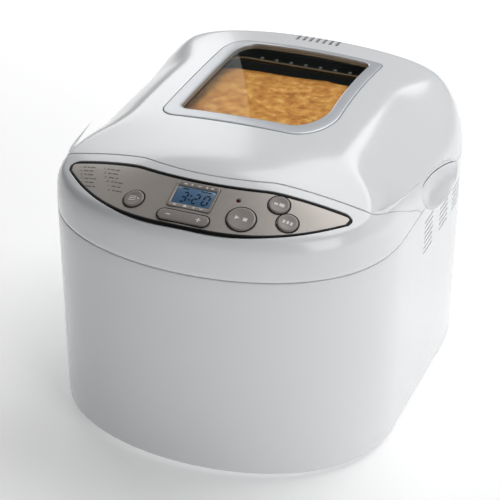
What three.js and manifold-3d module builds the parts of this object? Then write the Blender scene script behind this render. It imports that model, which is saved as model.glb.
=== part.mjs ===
// A household bread machine: a moulded housing, a front cover with a control panel, a hinged lid
// with a window, and inside it the oven chamber, heater, baking pan, kneading paddle and belt drive.
// Millimetres, +Z up, the front faces -Y. The origin is under the middle of the machine, at its feet.
import * as THREE from "three";
import { mergeVertices, toCreasedNormals } from "three/addons/utils/BufferGeometryUtils.js";
import Module from "manifold-3d";

const wasm = await Module();
wasm.setup();

// Driving dimensions.
const HALF_WIDTH = 151;
const HALF_DEPTH = 174;
const FRONT_BOW = 128; // depth of the bowed front, from the front point back to the straight sides
const REAR_BOW = 116;
const SEAM_Z = 193; // the height where the housing meets the front cover and the lid
const SEAM_GAP = 0.8;
const FOOT_HEIGHT = 4;
const WALL = 2.8;
const DRAFT = 1.3; // how much the housing pulls in from the seam to its base
const CLEAR = 0.3; // the gap between pieces that touch

const PANEL_FRONT_Z = 230; // height of the sloping panel's plane at the front point
const PANEL_SLOPE = 0.379;
const LID_TOP_Z = 263.5;

const CHAMBER_Y = 45; // the middle of the chamber, pan and drive
const INNER_PANE_Y = 40.5; // the middle of the liner's own pane, front to back
const CHAMBER_HALF = [118, 98];
const CHAMBER_FLOOR_Z = 58.8;
const SHEET = 1.2;
const PAN_HALF = [90.5, 66.5];
const PAN_RIM_Z = 188;
const PAN_FLOOR_Z = 72;
const BAIL_PIVOT_Z = 165;
const BAIL_REACH = 76;
const BAIL_WIRE = 2.2;
const BAIL_REST_DEG = 8;

const DRIVE_AXIS = [0, CHAMBER_Y];
const MOTOR_AXIS = [62, -103];
const DRIVE_GROOVE = 30;
const MOTOR_GROOVE = 9;

const HINGE_Y = 169.3;
const HINGE_Z = 198.5;
const HINGE_X = [-60, 60];
const GLAND_X = -60;

const WHITE = { color: 0xdfe1e4, roughness: 0.25, metalness: 0 };
const TAUPE = { color: 0xb0aaa4, roughness: 0.4, metalness: 0.2 };
const BUTTON = { color: 0x8e8986, roughness: 0.45, metalness: 0.1 };
const BLACK = { color: 0x141414, roughness: 0.5, metalness: 0 };
const SILVER = { color: 0xb8bbc0, roughness: 0.35, metalness: 0.6 };
const STEEL = { color: 0xa8aaac, roughness: 0.35, metalness: 1 };
const COATED = { color: 0x3c4046, roughness: 0.55, metalness: 0.2 };
const GLASS = { color: 0x9fb4bd, roughness: 0.05, metalness: 0, transparent: true, opacity: 0.35 };
const BOARD = { color: 0x2d6a43, roughness: 0.6, metalness: 0 };
const BRASS = { color: 0xb5995a, roughness: 0.4, metalness: 1 };

const machine = new THREE.Group();

// ---- helpers ----------------------------------------------------------------------------------

const fromFront = (distance) => distance - HALF_DEPTH;

function smooth(low, high, value) {
  const t = THREE.MathUtils.clamp((value - low) / (high - low), 0, 1);
  return t * t * (3 - 2 * t);
}

function solid(geometry) {
  const bare = new THREE.BufferGeometry();
  bare.setAttribute("position", geometry.getAttribute("position"));
  if (geometry.index) bare.setIndex(geometry.index);
  const merged = mergeVertices(bare, 1e-3);
  return new wasm.Manifold(
    new wasm.Mesh({
      numProp: 3,
      vertProperties: new Float32Array(merged.attributes.position.array),
      triVerts: new Uint32Array(merged.index.array),
    }),
  );
}

function placed(shape, position, quaternion = new THREE.Quaternion()) {
  const matrix = new THREE.Matrix4().compose(
    new THREE.Vector3(...position),
    quaternion,
    new THREE.Vector3(1, 1, 1),
  );
  return shape.transform(matrix.elements);
}

function geometryOf(shape) {
  const mesh = shape.getMesh();
  const geometry = new THREE.BufferGeometry();
  geometry.setAttribute("position", new THREE.BufferAttribute(mesh.vertProperties, 3));
  geometry.setIndex(new THREE.BufferAttribute(mesh.triVerts, 1));
  return geometry;
}

// Cuts can leave crumbs where two faceted surfaces just miss each other: only the piece itself stays.
function addPiece(name, shape, look) {
  const bodies = solid(geometryOf(shape)).decompose();
  const whole = bodies.reduce((kept, body) => (body.volume() > kept.volume() ? body : kept));
  const geometry = toCreasedNormals(geometryOf(whole), 0.6);
  const piece = new THREE.Mesh(geometry, new THREE.MeshStandardMaterial(look));
  piece.name = name;
  machine.add(piece);
}

function box(width, depth, height, centre) {
  return placed(solid(new THREE.BoxGeometry(width, depth, height)), centre);
}

// A cylinder that stands on low and ends at high, both along Z.
function rod(radius, low, high, at = [0, 0], sides = 18) {
  const geometry = new THREE.CylinderGeometry(radius, radius, high - low, sides);
  geometry.rotateX(Math.PI / 2);
  return placed(solid(geometry), [at[0], at[1], (low + high) / 2]);
}

// A cylinder along X or Y, centred at a point.
function crossRod(radius, length, centre, along, sides = 12) {
  const geometry = new THREE.CylinderGeometry(radius, radius, length, sides);
  if (along === "x") geometry.rotateZ(-Math.PI / 2);
  return placed(solid(geometry), centre);
}

// A ring turned about Z from a closed profile of [radius, z] points.
function turned(profile, at = [0, 0], sides = 24) {
  const points = profile.map(([radius, z]) => new THREE.Vector2(radius, z));
  if (profile[0][0] > 0) points.push(points[0].clone());
  const geometry = new THREE.LatheGeometry(points, sides);
  geometry.rotateX(Math.PI / 2);
  const made = solid(geometry);
  return placed(made, [at[0], at[1], 0]);
}

function ring(inner, outer, low, high, at, sides) {
  return turned(
    [
      [inner, low],
      [outer, low],
      [outer, high],
      [inner, high],
    ],
    at,
    sides,
  );
}

// An upright prism on a closed plan outline of [x, y] points.
function prism(outline, low, high) {
  const shape = new THREE.Shape(outline.map(([x, y]) => new THREE.Vector2(x, y)));
  const geometry = new THREE.ExtrudeGeometry(shape, { depth: high - low, bevelEnabled: false });
  return placed(solid(geometry), [0, 0, low]);
}

// Joins rings of equal counts, each running counter-clockwise seen from above and listed from the
// outside bottom upwards. A closed loft joins its last ring to its first; an open one is capped.
function loft(rings, closed) {
  const count = rings[0].length;
  const positions = rings.flat(2);
  const index = [];
  const bands = closed ? rings.length : rings.length - 1;
  for (let band = 0; band < bands; band += 1) {
    const lower = band * count;
    const upper = ((band + 1) % rings.length) * count;
    for (let i = 0; i < count; i += 1) {
      const next = (i + 1) % count;
      index.push(lower + i, lower + next, upper + next);
      index.push(lower + i, upper + next, upper + i);
    }
  }
  if (!closed) {
    const faces = THREE.ShapeUtils.triangulateShape(
      rings[0].map(([x, y]) => new THREE.Vector2(x, y)),
      [],
    );
    const top = (rings.length - 1) * count;
    for (const [a, b, c] of faces) {
      index.push(a, c, b);
      index.push(top + a, top + b, top + c);
    }
  }
  const geometry = new THREE.BufferGeometry();
  geometry.setAttribute("position", new THREE.Float32BufferAttribute(positions, 3));
  geometry.setIndex(index);
  return solid(geometry);
}

// A wire or tube of round section along a list of points, rounded by a spline.
function wire(points, radius, steps, quarterSteps = 3) {
  const path = new THREE.CatmullRomCurve3(
    points.map((p) => new THREE.Vector3(...p)),
    false,
    "centripetal",
  );
  const section = new THREE.Shape();
  section.absarc(0, 0, radius, 0, 2 * Math.PI, false);
  return solid(
    new THREE.ExtrudeGeometry(section, { steps, curveSegments: quarterSteps, extrudePath: path }),
  );
}

// ---- the outer form ---------------------------------------------------------------------------

// The plan outline, counter-clockwise from the front point: a bowed front, straight sides and a
// squarer rear. Each entry holds a point and the outward normal there.
function planOutline() {
  const points = [];
  const frontSteps = 11;
  const sideSteps = 3;
  const rearSteps = 7;
  const sideStart = fromFront(FRONT_BOW);
  const sideEnd = HALF_DEPTH - REAR_BOW;
  for (let i = 0; i <= frontSteps; i += 1) {
    const angle = ((i / frontSteps) * Math.PI) / 2;
    points.push([HALF_WIDTH * Math.sin(angle), sideStart - FRONT_BOW * Math.cos(angle) ** (2 / 2.6)]);
  }
  points[frontSteps][1] = sideStart;
  for (let i = 1; i < sideSteps; i += 1) {
    points.push([HALF_WIDTH, sideStart + ((sideEnd - sideStart) * i) / sideSteps]);
  }
  for (let i = 0; i <= rearSteps; i += 1) {
    const angle = ((i / rearSteps) * Math.PI) / 2;
    points.push([
      HALF_WIDTH * Math.sqrt(Math.cos(angle)),
      sideEnd + REAR_BOW * Math.sqrt(Math.sin(angle)),
    ]);
  }
  points[points.length - 1] = [0, HALF_DEPTH];
  const half = points.length - 1;
  for (let i = half - 1; i > 0; i -= 1) points.push([-points[i][0], points[i][1]]);
  return points.map((point, i) => {
    const before = points[(i + points.length - 1) % points.length];
    const after = points[(i + 1) % points.length];
    const along = new THREE.Vector2(after[0] - before[0], after[1] - before[1]).normalize();
    return { point, normal: [along.y, -along.x] };
  });
}

const PLAN = planOutline();

const insetPlan = (inset) =>
  PLAN.map(({ point, normal }) => [point[0] - normal[0] * inset, point[1] - normal[1] * inset]);

// Height of the crowned top surface: the sloping panel runs smoothly into the nearly level lid.
function topHeight(x, y) {
  const distance = y + HALF_DEPTH;
  const panel = PANEL_FRONT_Z + PANEL_SLOPE * distance;
  const lid = LID_TOP_Z - 5 * ((distance - 218) / 131) ** 2;
  const blend = 2;
  const nearer = Math.min(panel, lid);
  const profile = nearer - blend * Math.log(1 + Math.exp(-Math.abs(panel - lid) / blend));
  const crown = THREE.MathUtils.lerp(0.00138, 0.0007, smooth(63, 133, distance));
  return profile - crown * x * x;
}

// How the shoulder rolls over at one place on the outline: its width and its two exponents.
function shoulder(y) {
  const distance = y + HALF_DEPTH;
  const rear = smooth(240, 348, distance);
  const side = smooth(58, 128, distance) * (1 - rear);
  const width = 8 + 46 * side + 18 * rear;
  const creased = smooth(63, 153, distance) * (1 - rear);
  return { width, roll: 2.2 - 0.9 * creased, rise: 3.5 - 1.5 * smooth(63, 153, distance) };
}

// The solid under the whole top, from a base height up, with its surface sunk by inset.
function dome(inset, baseZ) {
  const levels = [1, 0.96, 0.8, 0.5, 0];
  const rings = [insetPlan(inset).map(([x, y]) => [x, y, baseZ])];
  for (const level of levels) {
    rings.push(
      PLAN.map(({ point, normal }) => {
        const { width, roll, rise } = shoulder(point[1]);
        const reach = inset + (width - inset) * (1 - level);
        const x = point[0] - normal[0] * reach;
        const y = point[1] - normal[1] * reach;
        const share = (1 - level ** roll) ** (1 / rise);
        return [x, y, SEAM_Z + (topHeight(x, y) - inset - SEAM_Z) * share];
      }),
    );
  }
  const count = PLAN.length;
  const positions = rings.flat(2);
  const index = [];
  for (let band = 0; band + 1 < rings.length; band += 1) {
    for (let i = 0; i < count; i += 1) {
      const next = (i + 1) % count;
      const a = band * count;
      index.push(a + i, a + next, a + count + next);
      index.push(a + i, a + count + next, a + count + i);
    }
  }
  // The crowned middle: a row of points across from each place to its mirror image.
  const last = rings[rings.length - 1];
  const columns = 5;
  const edge = (rings.length - 1) * count;
  const rows = [Array(columns + 1).fill(edge)];
  for (let row = 1; row < count / 2; row += 1) {
    const [right, y] = last[row];
    const line = [edge + count - row];
    for (let column = 1; column < columns; column += 1) {
      const x = -right + (2 * right * column) / columns;
      line.push(positions.length / 3);
      positions.push(x, y, topHeight(x, y) - inset);
    }
    line.push(edge + row);
    rows.push(line);
  }
  rows.push(Array(columns + 1).fill(edge + count / 2));
  const triangle = (a, b, c) => {
    if (a !== b && b !== c && a !== c) index.push(a, b, c);
  };
  for (let row = 0; row + 1 < rows.length; row += 1) {
    for (let column = 0; column < columns; column += 1) {
      triangle(rows[row][column], rows[row][column + 1], rows[row + 1][column + 1]);
      triangle(rows[row][column], rows[row + 1][column + 1], rows[row + 1][column]);
    }
  }
  const floor = THREE.ShapeUtils.triangulateShape(
    rings[0].map(([x, y]) => new THREE.Vector2(x, y)),
    [],
  );
  for (const [a, b, c] of floor) index.push(a, c, b);
  const geometry = new THREE.BufferGeometry();
  geometry.setAttribute("position", new THREE.Float32BufferAttribute(positions, 3));
  geometry.setIndex(index);
  return solid(geometry);
}

// Where the lid's front edge runs, seen from above: a shallow bulge between two kinks.
function lidEdge(x) {
  const across = Math.abs(x);
  const kink = 57;
  const bend = 133;
  if (across <= kink) return fromFront(59 + 0.0031 * across * across);
  const beyond = Math.max(across - bend, 0);
  return fromFront(69.1 + 0.13 * (across - kink) + 0.25 * beyond * beyond);
}

// Everything in front of the lid's front edge, moved back by an offset.
function frontRegion(offset) {
  const outline = [];
  const columns = [-160, -152, -149, -146, -143, -140, -137, -133, -108, -83, -57, -44, -30, -15, 0];
  for (const x of columns) outline.push([x, lidEdge(x) + offset]);
  for (const x of columns.slice(0, -1).reverse()) outline.push([-x, lidEdge(x) + offset]);
  outline.push([160, -220], [-160, -220]);
  return prism(outline.reverse(), 150, 300);
}

// The finger scoop: a shallow tilted ellipsoid pressed into each side across the seam.
function scoop(side, grow) {
  const geometry = new THREE.SphereGeometry(1, 14, 8);
  geometry.scale(20 + grow, 57 + grow, 21 + grow);
  geometry.rotateX(-0.26);
  return placed(solid(geometry), [side * (HALF_WIDTH + 6), fromFront(221), SEAM_Z]);
}

function roundedRect(halfX, halfY, radius, z, centreY = CHAMBER_Y) {
  const points = [];
  const steps = 5;
  for (const [sx, sy, start] of [
    [1, -1, -90],
    [1, 1, 0],
    [-1, 1, 90],
    [-1, -1, 180],
  ]) {
    for (let i = 0; i <= steps; i += 1) {
      const angle = THREE.MathUtils.degToRad(start + (90 * i) / steps);
      points.push([
        sx * (halfX - radius) + radius * Math.cos(angle),
        centreY + sy * (halfY - radius) + radius * Math.sin(angle),
        z,
      ]);
    }
  }
  return points;
}

// A circle with as many points as a rounded rectangle, so that the two can be lofted together.
function roundHole(radius, z) {
  const corners = roundedRect(60, 60, 40, z);
  return corners.map(([x, y]) => {
    const angle = Math.atan2(y - CHAMBER_Y, x);
    return [radius * Math.cos(angle), CHAMBER_Y + radius * Math.sin(angle), z];
  });
}

const belowSeam = box(320, 360, 60, [0, 0, SEAM_Z + SEAM_GAP / 2 - 30]);
const domeOuter = dome(0, 150).subtract(belowSeam);
const domeInner = dome(WALL, 150);

// ---- housing and base -------------------------------------------------------------------------

function housing() {
  const top = SEAM_Z - SEAM_GAP / 2;
  const at = (inset, z) => insetPlan(inset).map(([x, y]) => [x, y, z]);
  const outer = [at(DRAFT + 2.2, FOOT_HEIGHT), at(DRAFT, FOOT_HEIGHT + 3), at(0, top)];
  let shape = loft([...outer, at(WALL, top), at(DRAFT + WALL, FOOT_HEIGHT)], true);
  const whole = loft(outer, false);
  for (const side of [-1, 1]) {
    shape = shape.add(scoop(side, WALL).intersect(whole)).subtract(scoop(side, 0));
    for (const [middle, slots] of [
      [189, 7],
      [233, 5],
      [271, 5],
    ]) {
      for (let slot = 0; slot < slots; slot += 1) {
        const centre = [side * HALF_WIDTH, fromFront(middle), 147 + 5 * slot];
        shape = shape.subtract(box(14, 24, 2.2, centre));
      }
    }
  }
  const gland = crossRod(7, 20, [GLAND_X, HALF_DEPTH - 8, 40], "y");
  addPiece("main_housing", shape.subtract(gland), WHITE);
}

function basePlate() {
  const outline = insetPlan(DRAFT + WALL + CLEAR);
  let plate = prism(outline, FOOT_HEIGHT, FOOT_HEIGHT + 2.5);
  for (const x of [-30, -15, 0, 15, 30]) {
    plate = plate.subtract(box(5, 40, 10, [x, 120, FOOT_HEIGHT]));
  }
  addPiece("base_plate", plate, WHITE);
  const places = {
    front_left: [-92, -112],
    front_right: [92, -112],
    rear_left: [-112, 118],
    rear_right: [112, 118],
  };
  for (const [place, at] of Object.entries(places)) {
    const foot = turned(
      [
        [0, 0],
        [9, 0],
        [10.5, 1.2],
        [11, FOOT_HEIGHT - CLEAR],
        [0, FOOT_HEIGHT - CLEAR],
      ],
      at,
      18,
    );
    addPiece(`foot_${place}`, foot, BLACK);
  }
  const glandRing = placed(
    ring(3.6, 10, -0.55, 0.55, [0, 0], 16).add(ring(3.6, 6.6, -9, 0.5, [0, 0], 16)),
    [GLAND_X, HALF_DEPTH - 0.6, 40],
    new THREE.Quaternion().setFromAxisAngle(new THREE.Vector3(1, 0, 0), -Math.PI / 2),
  );
  addPiece("cord_gland", glandRing, BLACK);
}

// ---- front cover and control panel -------------------------------------------------------------

// The panel's outline, grown or shrunk by a margin: a curved front edge, a kinked rear edge.
function panelOutline(margin) {
  const points = [];
  const tip = 124.5 + margin;
  const steps = 14;
  const front = (x) => 5.5 - margin + 56 * (Math.abs(x) / 124.5) ** 2.45;
  const rear = (x) => {
    const across = Math.abs(x);
    return margin + (across < 58 ? 52.5 + 0.0025 * across * across : 60.9 + 0.13 * (across - 58));
  };
  for (let i = -steps; i <= steps; i += 1) {
    const x = tip * 0.985 * Math.sin((i / steps) * (Math.PI / 2));
    points.push([x, fromFront(front(x))]);
  }
  points.push([tip, fromFront(65.5)]);
  for (const x of [119, 90, 58, 40, 20, 0, -20, -40, -58, -90, -119]) {
    points.push([x, fromFront(rear(x))]);
  }
  points.push([-tip, fromFront(65.5)]);
  return points;
}

// The direction that a control faces, square to the crowned panel.
function panelNormal(x, y) {
  const step = 0.5;
  const slopeX = (topHeight(x + step, y) - topHeight(x - step, y)) / (2 * step);
  const slopeY = (topHeight(x, y + step) - topHeight(x, y - step)) / (2 * step);
  return new THREE.Vector3(-slopeX, -slopeY, 1).normalize();
}

function onPanel(shape, x, distance) {
  const y = fromFront(distance);
  const normal = panelNormal(x, y);
  const turn = new THREE.Quaternion().setFromUnitVectors(new THREE.Vector3(0, 0, 1), normal);
  return placed(shape, [x, y, topHeight(x, y)], turn);
}

const ROUND_BUTTONS = {
  menu_button: [-48, 26.5, 8.5],
  start_stop_button: [44.7, 27, 11.5],
  loaf_size_button: [67.5, 50.6, 8.5],
  crust_button: [79.5, 37.9, 8.5],
};
const ROCKER = { x: 0, distance: 15.2, halfLength: 21.8, halfHeight: 5.3 };
const DISPLAY = { x: 0, distance: 36.2, halfWidth: 18.6, halfHeight: 13.1 };
const LAMP = { x: 36, distance: 43, radius: 1.7 };

function pill(halfLength, halfHeight, low, high) {
  const shape = new THREE.Shape();
  shape.absarc(halfLength - halfHeight, 0, halfHeight, -Math.PI / 2, Math.PI / 2, false);
  shape.absarc(halfHeight - halfLength, 0, halfHeight, Math.PI / 2, (3 * Math.PI) / 2, false);
  const geometry = new THREE.ExtrudeGeometry(shape, {
    depth: high - low,
    bevelEnabled: false,
    curveSegments: 8,
  });
  return placed(solid(geometry), [0, 0, low]);
}

// Everything that passes through the panel, each a little larger than its control.
function panelHoles(extra) {
  const holes = [];
  for (const [x, distance, radius] of Object.values(ROUND_BUTTONS)) {
    holes.push(onPanel(rod(radius + extra, -12, 12), x, distance));
  }
  const { halfLength, halfHeight } = ROCKER;
  holes.push(onPanel(pill(halfLength + extra, halfHeight + extra, -12, 12), ROCKER.x, ROCKER.distance));
  const display = box(2 * (DISPLAY.halfWidth + extra), 2 * (DISPLAY.halfHeight + extra), 24, [0, 0, 0]);
  holes.push(onPanel(display, DISPLAY.x, DISPLAY.distance));
  holes.push(onPanel(rod(LAMP.radius + extra, -12, 12, [0, 0], 12), LAMP.x, LAMP.distance));
  return holes;
}

const cutAll = (shape, cutters) => cutters.reduce((left, cutter) => left.subtract(cutter), shape);

function frontCover() {
  const wall = 3.2;
  const front = frontRegion(0);
  const shell = domeOuter.subtract(dome(wall, 150)).intersect(front);
  const bulkhead = domeOuter.intersect(front).subtract(frontRegion(-2.6));
  const lipOutline = insetPlan(WALL + CLEAR + 0.2);
  const lip = prism(lipOutline, 186, SEAM_Z + 6)
    .subtract(prism(insetPlan(WALL + 3), 180, SEAM_Z + 10))
    .intersect(frontRegion(-4));
  const deck = prism(lipOutline, 189.4, SEAM_Z - 0.8);
  const mouth = loft(
    [roundedRect(120.4, 100.4, 30, 180), roundedRect(120.4, 100.4, 30, 215)],
    false,
  );
  let cover = shell.add(bulkhead).add(lip).add(deck).subtract(mouth);
  for (const side of [-1, 1]) cover = cover.subtract(scoop(side, WALL + 0.5));
  const recess = prism(panelOutline(CLEAR), 200, 300).subtract(dome(2, 150));
  cover = cutAll(cover.subtract(recess), panelHoles(0.5));
  addPiece("front_cover", cover, WHITE);
}

function controlPanel() {
  const raised = dome(0.2, 150);
  const floor = dome(1.7, 140);
  const border = prism(panelOutline(0), 200, 300).subtract(prism(panelOutline(-2), 190, 310));
  addPiece("panel_border", border.intersect(raised).subtract(floor), BLACK);
  const fascia = prism(panelOutline(-2 - CLEAR), 200, 300).intersect(raised).subtract(floor);
  addPiece("control_fascia", cutAll(fascia, panelHoles(0.5)), TAUPE);

  const { halfWidth, halfHeight } = DISPLAY;
  const bezel = box(2 * halfWidth, 2 * halfHeight, 3, [0, 0, -1.2]);
  const opening = box(33, 18, 8, [0, 0.6, 0]);
  addPiece("display_bezel", onPanel(bezel.subtract(opening), DISPLAY.x, DISPLAY.distance), TAUPE);
  const screen = box(32.4, 17.4, 1.4, [0, 0.6, -1.2]);
  addPiece("display_screen", onPanel(screen, DISPLAY.x, DISPLAY.distance), GLASS);
  const lamp = rod(LAMP.radius, -5, 0.5, [0, 0], 12);
  addPiece("indicator_lamp", onPanel(lamp, LAMP.x, LAMP.distance), BLACK);
}

// Each round button is a cap on a stem that reaches down towards its switch.
function buttons() {
  for (const [name, [x, distance, radius]] of Object.entries(ROUND_BUTTONS)) {
    const cap = turned(
      [
        [0, -2.6],
        [radius, -2.6],
        [radius, 0.4],
        [radius - 0.7, 0.9],
        [0, 1.2],
      ],
      [0, 0],
      20,
    );
    const stem = rod(2.5, -10, -0.2, [0, 0], 8);
    addPiece(name, onPanel(cap.add(stem), x, distance), BUTTON);
  }
  const { halfLength, halfHeight } = ROCKER;
  const key = pill(halfLength, halfHeight, -2.4, 0.9);
  const stems = rod(2, -8, -1, [-14, 0], 12).add(rod(2, -8, -1, [14, 0], 12));
  addPiece("timer_rocker", onPanel(key.add(stems), ROCKER.x, ROCKER.distance), BUTTON);
}

// The circuit board under the panel, with a switch post below each control.
function controlBoard() {
  const boardZ = 212;
  let board = box(168, 24, 1.6, [0, fromFront(39), boardZ]);
  const posts = Object.values(ROUND_BUTTONS).map(([x, distance]) => [x, distance, 12.5]);
  posts.push([-14, ROCKER.distance + 9, 16], [14, ROCKER.distance + 9, 16]);
  for (const [x, distance, drop] of posts) {
    const y = fromFront(THREE.MathUtils.clamp(distance, 30, 48));
    const high = topHeight(x, y) - drop - 3;
    board = board.add(rod(3, boardZ, high, [x, y], 12));
  }
  addPiece("control_board", board, BOARD);
}

// ---- lid ----------------------------------------------------------------------------------------

// The window's outline: a bowed front with one broad and one tight corner.
function windowOutline(margin) {
  const left = -62.5 - 1.2 * margin;
  const right = 60 + 0.95 * margin;
  const frontY = fromFront(148) - 1.2 * margin;
  const rearY = fromFront(291) + 0.6 * margin;
  const tight = 9 + 0.5 * margin;
  const wide = 26 + 0.5 * margin;
  const tall = 40 + 0.5 * margin;
  const points = [];
  const sweep = (cx, cy, rx, ry, start, steps) => {
    for (let i = 0; i <= steps; i += 1) {
      const angle = THREE.MathUtils.degToRad(start + (90 * i) / steps);
      points.push([cx + rx * Math.cos(angle), cy + ry * Math.sin(angle)]);
    }
  };
  sweep(right - wide, frontY + 2 + tall, wide, tall, -90, 7);
  points.push([right - 1.6, (frontY + 2 + tall + rearY - 6) / 2]);
  sweep(right - 6, rearY - 6, 6, 6, 0, 3);
  sweep(left + 16, rearY - 26, 16, 26, 90, 5);
  sweep(left + tight, frontY + tight, tight, tight, 180, 4);
  points.push([(left + tight + right - wide) / 2, frontY + 0.1]);
  return points;
}

function lidShell() {
  const behind = domeOuter.subtract(frontRegion(1.2));
  const skirt = behind.intersect(frontRegion(4)).subtract(box(400, 400, 100, [0, 0, 176]));
  let lid = behind.subtract(domeInner).add(skirt);
  for (const side of [-1, 1]) {
    lid = lid.add(scoop(side, WALL).intersect(behind)).subtract(scoop(side, 0));
  }
  lid = lid.subtract(prism(windowOutline(11 + CLEAR), 200, 300));
  for (let slot = -3; slot <= 3; slot += 1) {
    lid = lid.subtract(box(2.8, 15, 40, [slot * 6.3, fromFront(321), 255]));
  }
  lid = lid.subtract(box(400, 40, 10, [0, fromFront(353), SEAM_Z - 1.5]));
  for (const x of HINGE_X) {
    lid = lid.subtract(box(30, 30, 12, [x, HINGE_Y + 5, HINGE_Z - 6]));
    const knuckle = crossRod(3.3, 20, [x, HINGE_Y, HINGE_Z], "x");
    const web = box(20, 8, 4, [x, HINGE_Y + 1, HINGE_Z + 4]).intersect(domeOuter);
    lid = lid.add(knuckle).add(web).subtract(crossRod(2.1, 60, [x, HINGE_Y, HINGE_Z], "x"));
    for (const end of [-1, 1]) {
      lid = lid.subtract(box(4, 14, 16, [x + end * 12.2, HINGE_Y + 2, HINGE_Z - 1]));
    }
  }
  addPiece("lid_shell", lid, WHITE);
}

function lidWindow() {
  const frame = dome(-0.9, 150)
    .intersect(prism(windowOutline(11), 210, 300))
    .subtract(prism(windowOutline(0), 200, 310))
    .subtract(dome(4.2, 140));
  addPiece("window_frame", frame, SILVER);
  const pane = dome(0.8, 150).intersect(prism(windowOutline(-CLEAR), 210, 300)).subtract(dome(3.8, 140));
  addPiece("window_glass", pane, GLASS);
}

// The heat shield inside the lid: a flange over the chamber's rim and a hat that leaves headroom.
function lidLiner() {
  const liner = loft(
    [
      roundedRect(124, 104, 30, 197),
      roundedRect(124, 104, 30, 199),
      roundedRect(115, 95, 26, 199),
      roundedRect(110, 93, 26, 229),
      roundedRect(100, 90, 26, 242),
      roundedRect(83, 85, 24, 249),
      roundedRect(68, 66.5, 14, 249, INNER_PANE_Y),
      roundedRect(68, 66.5, 14, 247, INNER_PANE_Y),
      roundedRect(81.5, 83.5, 22, 247),
      roundedRect(98, 88, 24, 240),
      roundedRect(108, 91, 24, 228),
      roundedRect(113, 93, 24, 197),
    ],
    true,
  );
  addPiece("lid_liner", liner, COATED);
  const paneRing = (z) => roundedRect(67.6, 66.1, 13.6, z, INNER_PANE_Y);
  const pane = loft([paneRing(247.1), paneRing(248.9)], false);
  addPiece("inner_glass", pane, GLASS);
  const gasket = loft(
    [
      roundedRect(122, 102, 30, 193.9),
      roundedRect(122, 102, 30, 196.7),
      roundedRect(119, 99, 28, 196.7),
      roundedRect(119, 99, 28, 193.9),
    ],
    true,
  );
  addPiece("lid_gasket", gasket, BLACK);
}

function hinges() {
  for (const [i, x] of HINGE_X.entries()) {
    const name = i === 0 ? "left" : "right";
    let bracket = box(28, 9, 1.6, [x, HINGE_Y - 3.4, 193.4]);
    for (const end of [-1, 1]) {
      const ear = crossRod(3.2, 2.4, [x + end * 12.2, HINGE_Y, HINGE_Z], "x");
      const leg = box(2.4, 6.4, 6, [x + end * 12.2, HINGE_Y, 195.6]);
      bracket = bracket.add(ear).add(leg);
    }
    const bore = crossRod(2.1, 60, [x, HINGE_Y, HINGE_Z], "x");
    addPiece(`hinge_bracket_${name}`, bracket.subtract(bore), STEEL);
    addPiece(`hinge_pin_${name}`, crossRod(1.8, 30, [x, HINGE_Y, HINGE_Z], "x"), STEEL);
  }
}

// ---- chamber and heater ---------------------------------------------------------------------------

function chamber() {
  const [halfX, halfY] = CHAMBER_HALF;
  const floor = CHAMBER_FLOOR_Z;
  let shape = loft(
    [
      roundedRect(halfX - 4.8, halfY - 4.8, 27, floor - SHEET),
      roundedRect(halfX + SHEET, halfY + SHEET, 29, 192.5),
      roundedRect(halfX + 8, halfY + 8, 34, 192.5),
      roundedRect(halfX + 8, halfY + 8, 34, 193.6),
      roundedRect(halfX, halfY, 28, 193.6),
      roundedRect(halfX - 6, halfY - 6, 26, floor),
      roundHole(20, floor),
      roundHole(20, floor - SHEET),
    ],
    true,
  );
  for (const x of [-14, 14]) {
    shape = shape.subtract(crossRod(4.6, 20, [x, CHAMBER_Y - halfY + 5, 78], "y"));
  }
  shape = shape.subtract(crossRod(4, 20, [58, CHAMBER_Y - halfY + 4, 112], "y"));
  addPiece("oven_chamber", shape, STEEL);
}

function heater() {
  const halfX = 99;
  const halfY = 79;
  const turn = 22;
  const z = 78;
  const front = CHAMBER_Y - halfY;
  const path = [
    [14, CHAMBER_Y - CHAMBER_HALF[1] - 12, z],
    [14, front - 8, z],
    [22, front, z],
    [60, front, z],
  ];
  for (const [sx, sy, start] of [
    [1, -1, -90],
    [1, 1, 0],
    [-1, 1, 90],
    [-1, -1, 180],
  ]) {
    for (let i = 0; i <= 3; i += 1) {
      const angle = THREE.MathUtils.degToRad(start + 30 * i);
      path.push([
        sx * (halfX - turn) + turn * Math.cos(angle),
        CHAMBER_Y + sy * (halfY - turn) + turn * Math.sin(angle),
        z,
      ]);
    }
  }
  path.push([-60, front, z], [-22, front, z], [-14, front - 8, z]);
  path.push([-14, CHAMBER_Y - CHAMBER_HALF[1] - 12, z]);
  addPiece("heating_element", wire(path, 3.2, 52), STEEL);
  for (const side of [-1, 1]) {
    const foot = box(3, 8, 11, [side * 108.6, CHAMBER_Y, z + 2]);
    const clip = box(13, 8, 9, [side * 103.6, CHAMBER_Y, z + 1]).add(foot);
    const notch = box(16, 20, 7.2, [side * 98, CHAMBER_Y, z]);
    const lip = box(2, 8, 8, [side * 93.4, CHAMBER_Y, z + 8]);
    const name = side < 0 ? "left" : "right";
    addPiece(`element_clip_${name}`, clip.subtract(notch).subtract(lip), STEEL);
  }
  const sensor = crossRod(3.5, 22, [58, CHAMBER_Y - CHAMBER_HALF[1] + 4, 112], "y").add(
    crossRod(6, 2, [58, CHAMBER_Y - CHAMBER_HALF[1] + 11, 112], "y"),
  );
  addPiece("temperature_sensor", sensor, STEEL);
}

const bayonet = (inner, outer, low, high, degrees) => {
  const piece = box(outer - inner, 2 * outer * Math.sin(THREE.MathUtils.degToRad(12)), high - low, [
    (inner + outer) / 2,
    0,
    (low + high) / 2,
  ]);
  return placed(
    piece,
    [DRIVE_AXIS[0], DRIVE_AXIS[1], 0],
    new THREE.Quaternion().setFromAxisAngle(
      new THREE.Vector3(0, 0, 1),
      THREE.MathUtils.degToRad(degrees),
    ),
  );
};

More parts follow.
